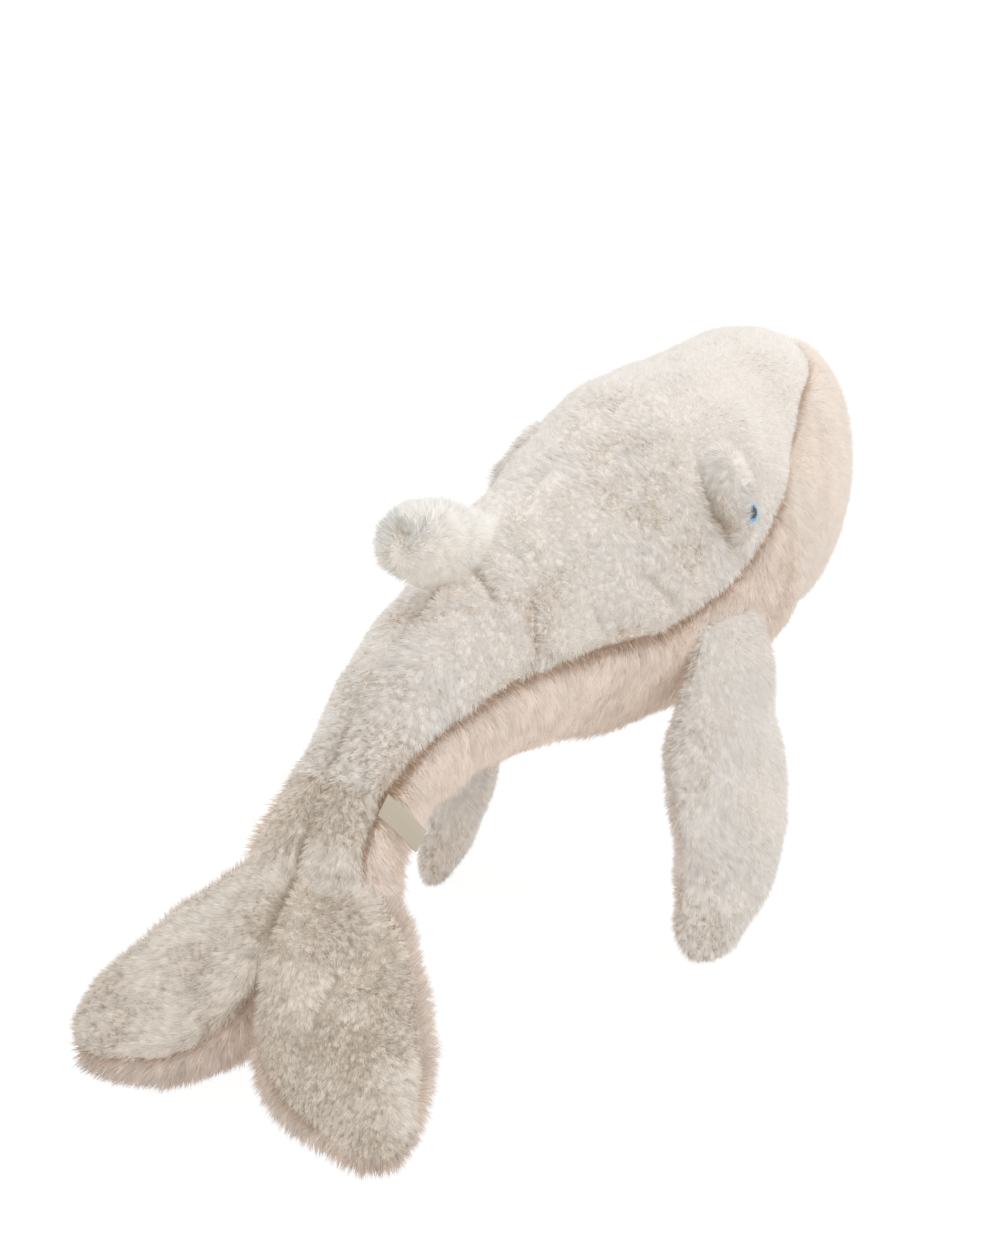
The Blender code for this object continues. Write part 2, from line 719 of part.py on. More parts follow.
def build_eye(torso_back, torso_stuffing):
    """The right eye on its padded cheek, with its stem through the cloth to a washer inside."""
    arc = cheek_share * body.length
    angle = cheek_turn_share * math.pi
    centre = body.point(arc, angle)
    out = body.normal(arc, angle)
    ahead = -body.tangent(arc)
    ahead = (ahead - out * ahead.dot(out)).normalized()
    below = (body.point(arc, angle + small_turn) - centre).normalized()
    turn = Matrix((ahead, below, out)).transposed()
    half = Vector((cheek_length / 2, cheek_height / 2, cheek_rise))
    look = Vector((math.sin(eye_tilt) * math.cos(eye_turn), math.sin(eye_tilt) * math.sin(eye_turn),
                   math.cos(eye_tilt)))
    stretched = Vector(size * part for size, part in zip(half, look))
    seat = centre + turn @ Vector(size * part / stretched.length for size, part in zip(half, stretched))
    look = turn @ look
    seat -= look * eye_seat_depth

    mesh_bm = bmesh.new()
    bmesh.ops.create_uvsphere(mesh_bm, u_segments=cheek_sides, v_segments=cheek_sides // 2, radius=1)
    place = Matrix.Translation(centre) @ turn.to_4x4() @ Matrix.Diagonal((*half, 1))
    bmesh.ops.transform(mesh_bm, matrix=place, verts=mesh_bm.verts)
    cheek = new_object("cheek_right", mesh_bm)
    cut(solid("torso", body_grid(torso_arcs(), -piece_gap)), cheek)

    eye_radius = eye_diameter / 2
    stem_radius = eye_stem_diameter / 2
    slope = math.tan(eye_tilt)
    through = (cheek_rise + body_cloth) / math.cos(eye_tilt)
    washer_top = through + eye_washer_room
    stem_length = washer_top + eye_washer_thickness + eye_stem_end
    sphere = (eye_radius ** 2 + eye_rise ** 2) / (2 * eye_rise)
    dome = math.asin(eye_radius / sphere)
    profile = [(-stem_length, 0), (-stem_length, stem_radius), (0, stem_radius), (0, eye_radius)]
    for step in range(1, eye_rows + 1):
        part = dome * (1 - step / eye_rows)
        profile.append((sphere * math.cos(part) - (sphere - eye_rise), sphere * math.sin(part)))
    eye = turned("eye_right", seat, look, profile)
    hole = stem_radius + piece_gap
    washer_radius = eye_washer_diameter / 2
    washer_end = washer_top + eye_washer_thickness
    washer = turned("eye_washer_right", seat, look, [
        (-washer_end, 0), (-washer_end, washer_radius), (-washer_top, washer_radius), (-washer_top, 0)])
    cut(turned("bore", seat, look, [(-stem_length, 0), (-stem_length, hole), (0, hole), (0, 0)]), washer)
    room_end = stem_length + piece_gap
    wide = eye_radius + piece_gap
    recess = turned("recess", seat, look, [
        (-room_end, 0), (-room_end, hole), (-piece_gap, hole),
        (-piece_gap, wide), (eye_diameter, wide), (eye_diameter, 0)])
    cut(recess, cheek, torso_back)
    pocket_radius = washer_radius + piece_gap
    pocket_top = through - body_cloth - eye_washer_diameter * slope
    pocket = turned("pocket", seat, look, [
        (-room_end, 0), (-room_end, pocket_radius), (-pocket_top, pocket_radius), (-pocket_top, 0)])
    cut(mirrored(pocket, "pocket_left"), torso_stuffing)
    cut(pocket, torso_stuffing)
    return cheek, eye, washer


def tag_frame():
    """Hinge point of the tag on the right seam, its hinge line and the way it sticks out.

    A positive turn about the hinge line lifts the tag away from the belly.
    """
    arc = tag_share * body.length
    reach = tag_width / 2
    point = body.point(arc, seam_angle(arc))
    hinge = (body.point(arc + reach, seam_angle(arc + reach))
             - body.point(arc - reach, seam_angle(arc - reach))).normalized()
    out = body.normal(arc, seam_angle(arc))
    out = (out - hinge * out.dot(hinge)).normalized()
    belly = body.point(arc, seam_angle(arc) + small_turn) - point
    if belly.dot(hinge.cross(out)) > 0:
        hinge = -hinge
    return point, hinge, Matrix.Rotation(-tag_droop, 3, hinge) @ out


def build_tag(*cloths):
    """The blank woven tag: a ribbon folded on itself, sewn in by its two ends."""
    point, hinge, out = tag_frame()
    flat = hinge.cross(out)
    radius = tag_thickness / 2
    inner = radius - tag_ribbon
    outline = []
    for step in range(round_sides // 2 + 1):
        turn = math.pi * (step / (round_sides // 2) - 0.5)
        outline.append((tag_length - radius + radius * math.cos(turn), radius * math.sin(turn)))
    for step in range(round_sides // 2 + 1):
        turn = math.pi * (0.5 + step / (round_sides // 2))
        outline.append((radius * math.cos(turn), radius * math.sin(turn)))
    slot = []
    for end, start in ((tag_length - radius, -0.5), (radius, 0.5)):
        for step in range(round_sides // 4 + 1):
            turn = math.pi * (start + step / (round_sides // 4))
            slot.append((end + inner * math.cos(turn), inner * math.sin(turn)))

    def ribbon(name, points, half_width):
        return solid(name, [[point + out * along + flat * off + hinge * (side + along * tag_slant)
                             for along, off in points]
                            for side in (-half_width, half_width)])

    tag = ribbon("side_tag", outline, tag_width / 2)
    cut(ribbon("slot", slot, tag_width / 2 + cut_overrun), tag)
    room = radius + piece_gap
    reach = 2 * body_cloth
    low, high = -tag_down, tag_up
    seat = [(reach * math.cos(high) - room * math.sin(high), reach * math.sin(high) + room * math.cos(high))]
    for step in range(round_sides // 2 + 1):
        turn = high + math.pi / 2 + (math.pi + low - high) * step / (round_sides // 2)
        seat.append((room * math.cos(turn), room * math.sin(turn)))
    seat.append((reach * math.cos(low) + room * math.sin(low), reach * math.sin(low) - room * math.cos(low)))
    cut(ribbon("seat", seat, tag_width / 2 + piece_gap), *cloths)
    return tag


def standing_matrix(front, rear):
    """The tilt and lift that set the flippers and the flukes down on the floor."""
    tilt = 0.0
    for _ in range(settle_rounds):
        turn = Matrix.Rotation(tilt, 4, "X")
        first = min((turn @ point for point in front), key=lambda point: point.z)
        last = min((turn @ point for point in rear), key=lambda point: point.z)
        tilt -= math.atan2(last.z - first.z, last.y - first.y)
    turn = Matrix.Rotation(tilt, 4, "X")
    lowest = min((turn @ point).z for point in front + rear)
    return Matrix.Translation((0, 0, -lowest - foot_flat_depth)) @ turn


def points_of(*objects):
    """All points of some objects."""
    return [vertex.co.copy() for obj in objects for vertex in obj.data.vertices]


def stand(objects, feet_front, feet_rear):
    """Set the whale down, centre it over the origin and flatten the tips that it rests on."""
    place = standing_matrix(points_of(*feet_front), points_of(*feet_rear))
    for obj in objects:
        obj.data.transform(place)
    ends = [point.y for point in points_of(*objects)]
    middle = Matrix.Translation((0, -(min(ends) + max(ends)) / 2, 0))
    for obj in objects:
        obj.data.transform(middle)
    floor = bmesh.new()
    floor_size = back_length * 3
    bmesh.ops.create_cube(floor, size=floor_size)
    bmesh.ops.translate(floor, vec=(0, 0, -floor_size / 2), verts=floor.verts)
    cut(new_object("floor", floor), *feet_front, *feet_rear)
    return middle @ place


def finish_of(name):
    """Colour and roughness of what a piece is made of."""
    if "stuffing" in name:
        return (0.86, 0.86, 0.84), 0.95    # white polyester stuffing
    if "beads" in name:
        return (0.78, 0.82, 0.81), 0.30    # small glass beads
    if "washer" in name:
        return (0.80, 0.79, 0.74), 0.50    # natural nylon
    if name.startswith("eye"):
        return (0.16, 0.33, 0.50), 0.06    # blue plastic, polished
    if name == "side_tag":
        return (0.56, 0.50, 0.40), 0.80    # woven ribbon
    if "under" in name or "inner" in name:
        return (0.72, 0.59, 0.49), 0.95    # beige fur cloth
    return (0.79, 0.74, 0.68), 0.95        # cream fur cloth


def dress(obj):
    """Give a piece a material of its own, and shade it round."""
    colour, roughness = finish_of(obj.name)
    material = bpy.data.materials.new(obj.name)
    material.use_nodes = True
    shader = material.node_tree.nodes["Principled BSDF"]
    shader.inputs["Base Color"].default_value = (*colour, 1)
    shader.inputs["Roughness"].default_value = roughness
    shader.inputs["Metallic"].default_value = 0
    material.diffuse_color = (*colour, 1)
    obj.data.materials.clear()
    obj.data.materials.append(material)
    obj.data.shade_smooth()
    obj.data.set_sharp_from_angle(angle=crease_angle)


def hang(name, place, pieces, limits, parent, parent_place):
    """An empty on a joint's line, its x axis along the line, which carries what turns about it.

    Its two properties keep how far the pieces turn each way, in degrees about the x axis.
    """
    empty = bpy.data.objects.new(name, None)
    bpy.context.scene.collection.objects.link(empty)
    empty.parent = parent
    empty.matrix_local = parent_place.inverted() @ place
    empty["lowest_turn"], empty["highest_turn"] = (math.degrees(limit) for limit in limits)
    for obj in pieces:
        obj.data.transform(place.inverted())
        obj.parent = empty
    return empty


def line_place(pivot, axis):
    """The place of an empty at a pivot, its x axis along a line."""
    turn = Vector((1, 0, 0)).rotation_difference(axis).to_matrix().to_4x4()
    return Matrix.Translation(pivot) @ turn


def main():
    """Build the whale."""
    for obj in list(bpy.data.objects):
        bpy.data.objects.remove(obj)

    torso_back, torso_under, torso_stuffing = build_torso()
    tail_back, tail_under, tail_stuffing = build_tail()
    flipper, flipper_seat = build_flipper()
    fin, fin_seat = build_fin()
    flukes = build_flukes()
    eye = build_eye(torso_back, torso_stuffing)
    flipper_seat_left = mirrored(flipper_seat, "seat_left")
    cut(fin_seat, torso_back, torso_stuffing)
    cut(flipper_seat, torso_back, torso_under, torso_stuffing)
    cut(flipper_seat_left, torso_under, torso_stuffing)

    tail_back_left = mirrored(tail_back, "tail_back_left")
    tag = build_tag(tail_back, tail_under)

    torso_pieces = [torso_back, torso_under, torso_stuffing, *eye]
    tail_pieces = [tail_back, tail_back_left, tail_under, tail_stuffing]
    pieces = [*torso_pieces, *tail_pieces, *flukes, *flipper, *fin, tag]
    set_down = stand(pieces, flipper[:2], flukes[:2])
    torso_pieces += [other_side(piece) for piece in (torso_back, *eye)]
    fluke_pieces = [*flukes, *(other_side(piece) for piece in flukes[:2])]
    flipper_left = [other_side(piece) for piece in flipper]
    for piece in (*torso_pieces, *tail_pieces, *fluke_pieces, *flipper, *flipper_left, *fin, tag):
        dress(piece)

    whale = bpy.data.objects.new("whale", None)
    bpy.context.scene.collection.objects.link(whale)
    for piece in torso_pieces:
        piece.parent = whale
    still = Matrix.Identity(4)
    across = Vector((1, 0, 0))
    tail_place = set_down @ line_place(body.centre(tail_joint), across)
    tail = hang("tail_joint", tail_place, tail_pieces, (-tail_droop, tail_lift), whale, still)
    fluke_place = set_down @ line_place(body.centre(body.length), across)
    hang("fluke_joint", fluke_place, fluke_pieces, (-fluke_droop, fluke_lift), tail, tail_place)
    tag_point, tag_hinge, _ = tag_frame()
    tag_place = set_down @ line_place(tag_point, tag_hinge)
    hang("tag_joint", tag_place, [tag], (-tag_down, tag_up), tail, tail_place)
    pivot, hinge = flipper_frame()[:2]
    over = Vector((-1, 1, 1))
    right_place = set_down @ line_place(pivot, hinge)
    left_place = set_down @ line_place(pivot * over, hinge * over)
    hang("flipper_right_joint", right_place, flipper, (-flipper_tuck, flipper_raise), whale, still)
    hang("flipper_left_joint", left_place, flipper_left, (-flipper_raise, flipper_tuck), whale, still)
    fin_place = set_down @ line_place(*fin_frame()[:2])
    hang("fin_joint", fin_place, fin, (-fin_flop, fin_flop), whale, still)


main()
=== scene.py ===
"""Looks of a large plush whale that stands on the tips of its flippers and flukes.

The whale is sewn from panels of fur cloth. Each panel is a sheet of cloth with a pile of short
blades on it: cream with mottled patches on the back, the flippers and the fin, and longer, pinkish
beige on the face, the belly and the underside of the flukes. Its forms repeat the sizes of the
solids and are drawn in the same way, then set down on the floor.
"""

import itertools
import logging
import math
from dataclasses import dataclass, field, replace
from enum import Enum
from typing import Callable, Optional, Sequence, Union

import bpy
import numpy as np
from mathutils import Matrix, Vector


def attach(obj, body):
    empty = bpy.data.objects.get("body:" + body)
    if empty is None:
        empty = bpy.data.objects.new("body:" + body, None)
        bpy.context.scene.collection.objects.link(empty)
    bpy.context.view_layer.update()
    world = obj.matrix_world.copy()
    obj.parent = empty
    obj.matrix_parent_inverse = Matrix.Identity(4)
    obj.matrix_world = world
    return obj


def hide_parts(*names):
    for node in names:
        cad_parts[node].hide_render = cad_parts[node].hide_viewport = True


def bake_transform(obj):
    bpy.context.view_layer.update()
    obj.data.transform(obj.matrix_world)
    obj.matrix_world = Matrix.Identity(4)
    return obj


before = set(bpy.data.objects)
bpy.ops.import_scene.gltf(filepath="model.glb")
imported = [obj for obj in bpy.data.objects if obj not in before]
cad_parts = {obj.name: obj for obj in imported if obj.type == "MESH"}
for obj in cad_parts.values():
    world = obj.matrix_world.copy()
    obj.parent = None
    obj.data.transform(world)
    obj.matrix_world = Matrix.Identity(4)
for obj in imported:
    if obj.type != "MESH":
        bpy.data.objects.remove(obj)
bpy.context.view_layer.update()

LOG = logging.getLogger("whale")
MM = 0.001
FLOOR_CLEARANCE = 0.2 * MM

# How the drawing is set down: a small tilt about the x axis, then a move, so that four tips rest
TILT_COS, TILT_SIN = 0.9999655, 0.0083002
SET_DOWN = Matrix(((1, 0, 0, 0), (0, TILT_COS, -TILT_SIN, -0.3039977),
                   (0, TILT_SIN, TILT_COS, -0.004404), (0, 0, 0, 1)))
SET_DOWN_PARTS = (np.array(SET_DOWN.to_3x3()), np.array(SET_DOWN.translation))

BACK_LENGTH, BACK_HEIGHT = 0.522, 0.355
BODY_WIDTH, BODY_DEPTH = 0.196, 0.210
# Shares of those four: how far along, how high, how wide, how deep
BODY_SHARES = (
    (0.000, 0.713, 0.80, 0.98), (0.042, 0.721, 0.81, 0.99), (0.119, 0.735, 0.81, 0.96),
    (0.234, 0.715, 0.90, 0.95), (0.349, 0.670, 1.00, 1.00), (0.515, 0.617, 0.82, 0.84),
    (0.625, 0.597, 0.64, 0.72), (0.784, 0.549, 0.47, 0.52), (0.881, 0.479, 0.39, 0.41),
    (0.933, 0.420, 0.38, 0.35), (0.975, 0.352, 0.42, 0.30), (1.000, 0.282, 0.51, 0.29))
# The side seam: how far along the spine, and how far round, of the half turn from back to belly
SEAM_SHARES = (
    (0.079, 0.07), (0.093, 0.13), (0.111, 0.21), (0.143, 0.25), (0.182, 0.28), (0.223, 0.33),
    (0.275, 0.38), (0.338, 0.43), (0.400, 0.49), (0.495, 0.54), (0.582, 0.54), (0.679, 0.51),
    (0.763, 0.48), (0.836, 0.41), (0.875, 0.38), (0.911, 0.33), (1.000, 0.33))
# How far along the flipper, how far back, how wide, how thick
FLIPPER_SHARES = (
    (0.000, 0.015, 0.54, 0.41), (0.142, 0.090, 0.79, 0.62), (0.244, 0.170, 0.92, 0.82),
    (0.376, 0.230, 1.00, 0.96), (0.508, 0.260, 1.00, 1.00), (0.635, 0.300, 0.97, 0.98),
    (0.746, 0.390, 0.94, 0.92), (0.838, 0.480, 0.90, 0.86), (0.920, 0.570, 0.86, 0.80),
    (1.000, 0.660, 0.82, 0.76))
# How far out on a fluke, its front edge, its rear edge, how thick
FLUKE_SHARES = (
    (0.000, -0.45, 0.46, 0.98), (0.048, -0.44, 0.63, 1.00), (0.112, -0.41, 0.74, 1.00),
    (0.200, -0.34, 0.84, 0.98), (0.320, -0.15, 0.91, 0.90), (0.400, -0.07, 0.94, 0.80),
    (0.480, -0.01, 0.96, 0.71), (0.600, 0.10, 0.98, 0.64), (0.720, 0.25, 1.00, 0.59),
    (0.840, 0.42, 0.99, 0.53), (0.920, 0.55, 0.96, 0.48), (1.000, 0.68, 0.91, 0.44))
# How far up the fin, how far back, how long, how wide
FIN_SHARES = (
    (0.00, 0.00, 0.97, 0.63), (0.23, 0.22, 0.99, 0.88), (0.34, 0.30, 1.00, 0.95),
    (0.60, 0.48, 0.90, 1.00), (0.84, 0.60, 0.76, 0.97), (1.00, 0.67, 0.64, 0.92))


class Slot(Enum):
    """The record's material slots, listed beside the flukes' and the tail end's finishes."""

    CREAM = "cream_fur_cloth"
    BEIGE = "beige_fur_cloth"
    EYE = "eye_plastic"
    TAG = "tag_ribbon"


class Side(Enum):
    """The whale's right side, which the drawing shows, and its left, which mirrors it."""

    RIGHT = "right"
    LEFT = "left"

    @property
    def sign(self) -> float:
        """1 on the right and -1 on the left."""
        return 1.0 if self is Side.RIGHT else -1.0


# ---------------------------------------------------------------- small tools


def linear(code: str) -> tuple[float, float, float, float]:
    """The linear colour of an sRGB hex value.

    Args:
        code: Six hex digits.

    Returns:
        Red, green, blue and an alpha of 1.
    """
    parts = [int(code[index:index + 2], 16) / 255 for index in (0, 2, 4)]
    light = (part / 12.92 if part <= 0.04045 else ((part + 0.055) / 1.055) ** 2.4 for part in parts)
    return (*light, 1.0)


def add_node(tree: bpy.types.NodeTree, kind: str, settings: Optional[dict] = None,
             inputs: Optional[dict] = None, output: Union[int, str] = 0
             ) -> Optional[bpy.types.NodeSocket]:
    """Add a shader node with its settings, values and links.

    Args:
        tree: The material's node tree.
        kind: The node's type name, without its ShaderNode part.
        settings: Properties of the node.
        inputs: A value or an output socket for each input, by name or number.
        output: Which output is wanted, by name or number.

    Returns:
        That output's socket, or None where the node has no outputs.
    """
    node = tree.nodes.new("ShaderNode" + kind)
    for name, value in (settings or {}).items():
        setattr(node, name, value)
    for name, value in (inputs or {}).items():
        if isinstance(value, bpy.types.NodeSocket):
            tree.links.new(value, node.inputs[name])
        else:
            node.inputs[name].default_value = value
    return node.outputs[output] if node.outputs else None


def blank_material(name: str) -> tuple[bpy.types.Material, bpy.types.NodeTree]:
    """A material with an empty node tree.

    Args:
        name: The material's name.

    Returns:
        The material and its tree.
    """
    material = bpy.data.materials.new(name)
    material.use_nodes = True
    material.node_tree.nodes.clear()
    return material, material.node_tree


# Settings that nodes share. A mix of colours blends its inputs 6 and 7 by input 0, at output 2.
# A smooth step takes input 0 from the stretch 1 to 2 to the stretch 3 to 4, clamped.
COLOURS = {"data_type": "RGBA", "clamp_factor": True}
SMOOTH = {"interpolation_type": "SMOOTHSTEP", "clamp": True}


def put_in_scene(name: str, data: bpy.types.ID) -> bpy.types.Object:
    """Make an object and link it into the scene.

    Args:
        name: The object's name.
        data: Its mesh, lamp or camera.

    Returns:
        The object.
    """
    piece = bpy.data.objects.new(name, data)
    bpy.context.scene.collection.objects.link(piece)
    return piece


def choose(piece: bpy.types.Object) -> None:
    """Select one piece alone, and make it the active one.

    Args:
        piece: The piece.
    """
    bpy.ops.object.select_all(action="DESELECT")
    piece.select_set(True)
    bpy.context.view_layer.objects.active = piece


def reshape(operator: Callable, **settings: object) -> None:
    """Run one edit-mode operator on all of the active piece's mesh.

    Args:
        operator: The operator.
        settings: Its settings.
    """
    bpy.ops.object.mode_set(mode="EDIT")
    bpy.ops.mesh.select_all(action="SELECT")
    operator(**settings)
    bpy.ops.object.mode_set(mode="OBJECT")


def thicken(piece: bpy.types.Object, thickness: float, offset: float) -> None:
    """Give the active piece's sheet its thickness.

    Args:
        piece: The piece.
        thickness: The wall's thickness.
        offset: -1 to grow inwards, 0 to both sides.
    """
    wall = piece.modifiers.new("thickness", "SOLIDIFY")
    wall.thickness, wall.offset = thickness, offset
    bpy.ops.object.modifier_apply(modifier=wall.name)


def dress(piece: bpy.types.Object, material: bpy.types.Material) -> None:
    """Give a finished piece one material, in place of any that it has, and report the piece.

    Args:
        piece: The piece.
        material: Its finish.
    """
    piece.data.materials.clear()
    piece.data.materials.append(material)
    LOG.info("%s: %d faces, %s", piece.name, len(piece.data.polygons), material.name)


def note(mesh: bpy.types.Mesh, title: str, values: np.ndarray) -> None:
    """Keep values for a mesh's points in an attribute that its material reads.

    Args:
        mesh: The mesh.
        title: The attribute's name.
        values: A number for each point, or a row of three.
    """
    kind, key = ("FLOAT", "value") if values.ndim == 1 else ("FLOAT_VECTOR", "vector")
    layer = mesh.attributes.new(title, kind, "POINT")
    layer.data.foreach_set(key, values.astype(np.float32).ravel())


def quads(rows: int, columns: int) -> np.ndarray:
    """The faces of a grid of points, as rows of four point numbers."""
    grid = np.arange(rows * columns).reshape(rows, columns)
    return np.stack([grid[:-1, :-1], grid[:-1, 1:], grid[1:, 1:], grid[1:, :-1]], -1).reshape(-1, 4)


# ---------------------------------------------------------------- finishes


@dataclass(frozen=True)
class FurFinish:
    """Plush fur cloth of matt polyester fibre: pale tips over roots darkened as painted shade,
    mottled where it parts.

    Its patches, curls and flecks are noise in the cloth's own place, each of a real size in mm.
    """

    name: str
    tip: str
    root: str
    patch_tip: str
    patch_root: str
    # Dark colour of the painted shade in the gaps between curls and over partings
    painted_shade: str
    patch_mm: float = 46.0        # size of a patch where the pile stands another way
    tuft_mm: float = 7.0          # size of a curl of the pile
    fleck_mm: float = 3.0         # size of a gap between curls, where the roots show in painted shade
    fleck_share: float = 0.55
    fold_share: float = 0.75      # how much of the deepest fold's colour is the painted shade colour
    patch_edge: tuple[float, float] = (1.04, 1.26)   # noise at which a patch starts and is full
    fleck_edge: tuple[float, float] = (0.52, 0.66)
    tones: tuple[float, float] = (0.80, 1.12)        # of the darkest and the palest tuft

    def material(self) -> bpy.types.Material:
        """The finish as a material.

        Returns:
            A material that reads the pile's attributes: along, from root to tip, tone, mottle
            and deep. The darker roots, and the deep partings, are painted shade.
        """
        material, tree = blank_material(self.name)
        place = add_node(tree, "TexCoord", output="Object")
        wide, curl, gap = (
            add_node(tree, "TexNoise", None, {
                "Vector": place, "Scale": 1 / (size * MM), "Detail": fine})
            for size, fine in ((self.patch_mm, 3.0), (self.tuft_mm, 2.0), (self.fleck_mm, 1.0)))
        along, tone, mottle, deep = (
            add_node(tree, "Attribute", {"attribute_name": title}, output="Fac")
            for title in ("along", "tone", "mottle", "deep"))
        uneven = wide
        for part, share in ((curl, 0.5), (mottle, 0.30)):
            uneven = add_node(tree, "Math", {"operation": "MULTIPLY_ADD"},
                              {0: part, 1: share, 2: uneven})
        patch, rise, gaps, folds, shade = (
            add_node(tree, "MapRange", SMOOTH, dict(enumerate(row))) for row in (
                (uneven, *self.patch_edge), (along, 0.0, 0.9),
                (gap, *self.fleck_edge, 0.0, self.fleck_share),
                (deep, 0.1, 1.0, 0.0, self.fold_share), (tone, -1.0, 1.0, *self.tones)))
        root, tip = (
            add_node(tree, "Mix", COLOURS, {0: patch, 6: linear(plain), 7: linear(patched)}, 2)
            for plain, patched in ((self.root, self.patch_root), (self.tip, self.patch_tip)))
        # The colour pales from root to tip: the darker roots are painted shade of the pile's depth
        colour = add_node(tree, "Mix", COLOURS, {0: rise, 6: root, 7: tip}, 2)
        # Painted shade: gaps between curls in a patch, and partings over folds and seams, turn to
        # the painted shade colour
        flecks = add_node(tree, "Math", {"operation": "MULTIPLY"}, {0: gaps, 1: patch})
        for share in (flecks, folds):
            colour = add_node(tree, "Mix", COLOURS, {0: share, 6: colour, 7: linear(self.painted_shade)}, 2)
        # Each tuft and blade is paler or darker at random, and darker over partings as painted
        # shade
        grey = add_node(tree, "CombineColor", None, {0: shade, 1: shade, 2: shade})
        colour = add_node(tree, "Mix", {**COLOURS, "blend_type": "MULTIPLY"},
                          {0: 1.0, 6: colour, 7: grey}, 2)
        # Cut polyester fibre: no shine, and a faint warm sheen where blades are seen edge on
        fibre = add_node(tree, "BsdfPrincipled", None, {
            "Base Color": colour, "Roughness": 0.85, "Specular IOR Level": 0.15,
            "Sheen Weight": 0.12, "Sheen Roughness": 0.45, "Sheen Tint": linear("F4E6D8")})
        # A blade lets light through, so its underside is lit by what falls on its upper side
        through = add_node(tree, "BsdfTranslucent", None, {"Color": colour})
        under = add_node(tree, "NewGeometry", output="Backfacing")
        both = add_node(tree, "MixShader", None, {0: under, 1: fibre, 2: through})
        add_node(tree, "OutputMaterial", None, {"Surface": both})
        return material


# Colours of tip, root, patch tip, patch root and painted shade; the darker roots are painted shade
CREAM_FUR = FurFinish("cream_plush_fur", "F5F1ED", "E8E0D8", "FBF5EF", "D3C5B7", "9C8975")
GREY_FUR = FurFinish("greyed_cream_plush_fur", "FBF3EA", "D8CBBC", "EFE5DA", "BFB09F", "96836E")
PALE_FUR = FurFinish("pale_plush_fur", "FFFEFC", "F6EFE6", "FBF5EC", "DCCDBA", "B9A78F")
FACE_FUR = FurFinish("pale_beige_plush_fur", "F6EBE2", "E4D3C5", "F0E1D5", "CFB6A3", "AE8F78",
                     patch_mm=60.0, fleck_share=0.4)
BEIGE_FUR = FurFinish("beige_plush_fur", "F5E6DB", "DFC9B9", "EDD9CA", "C3A590", "98775F",
                      patch_mm=60.0, fleck_share=0.3)


@dataclass(frozen=True)
class EyeFinish:
    """A polished blue acrylic safety eye with a dark pupil, under its own clear gloss."""

    name: str = "polished_blue_acrylic"
    pupil: str = "0A0C10"
    inner: str = "5AA3D6"
    outer: str = "9CCBF5"
    rim: str = "2F6F95"
    streak_mm: float = 0.9        # the real streaks are finer, and would not show

    def material(self) -> bpy.types.Material:
        """The finish as a material.

        Returns:
            A material that reads the attribute ring: 0 on the axis and 1 at the rim.
        """
        material, tree = blank_material(self.name)
        ring = add_node(tree, "Attribute", {"attribute_name": "ring"}, output="Fac")
        place = add_node(tree, "TexCoord", output="Object")
        streaks = add_node(tree, "TexNoise", None, {
            "Vector": place, "Scale": 1 / (self.streak_mm * MM), "Detail": 2.0})
        colour = linear(self.inner)
        # Each tint: where it starts and is full, and its share before and after
        for value, low, high, before, after, tint in (
                (ring, 0.40, 0.85, 0.0, 1.0, self.outer),
                (streaks, 0.45, 0.75, 0.0, 0.35, self.rim),
                (ring, 0.86, 0.97, 0.0, 1.0, self.rim),
                (ring, 0.36, 0.42, 1.0, 0.0, self.pupil)):
            share = add_node(tree, "MapRange", SMOOTH,
                             {0: value, 1: low, 2: high, 3: before, 4: after})
            colour = add_node(tree, "Mix", COLOURS, {0: share, 6: colour, 7: linear(tint)}, 2)
        # Polished acrylic: small sharp highlights that lie over the colour
        acrylic = add_node(tree, "BsdfPrincipled", None, {
            "Base Color": colour, "Roughness": 0.12, "IOR": 1.49,
            "Coat Weight": 1.0, "Coat Roughness": 0.03})
        add_node(tree, "OutputMaterial", None, {"Surface": acrylic})
        return material


@dataclass(frozen=True)
class RibbonFinish:
    """A woven satin ribbon, beige and left blank, with its fine ribs across the tag."""

    name: str = "woven_label_ribbon"
    face: str = "D2C8B6"
    groove: str = "BBB09D"
    rib_mm: float = 0.8           # the real ribs are finer, and would not show

    def material(self) -> bpy.types.Material:
        """The finish as a material.

        Returns:
            A material that reads the attribute run: metres along the ribbon.
        """
        material, tree = blank_material(self.name)
        run = add_node(tree, "Attribute", {"attribute_name": "run"}, output="Fac")
        wave = add_node(tree, "Math", {"operation": "MULTIPLY"},
                        {0: run, 1: 2 * math.pi / (self.rib_mm * MM)})
        rib = add_node(tree, "Math", {"operation": "SINE"}, {0: wave})
        crest = add_node(tree, "MapRange", SMOOTH, {0: rib, 1: -1.0, 2: 0.6})
        # The grooves between the ribs are darker: painted shade, over the bump's own shading
        colour = add_node(tree, "Mix", COLOURS,
                          {0: crest, 6: linear(self.groove), 7: linear(self.face)}, 2)
        bump = add_node(tree, "Bump", None, {"Strength": 0.4, "Distance": 0.1 * MM, "Height": rib})
        # Woven satin: its ribs catch the light in fine lines
        satin = add_node(tree, "BsdfPrincipled", None, {
            "Base Color": colour, "Roughness": 0.6, "Normal": bump, "Sheen Weight": 0.1})
        add_node(tree, "OutputMaterial", None, {"Surface": satin})
        return material


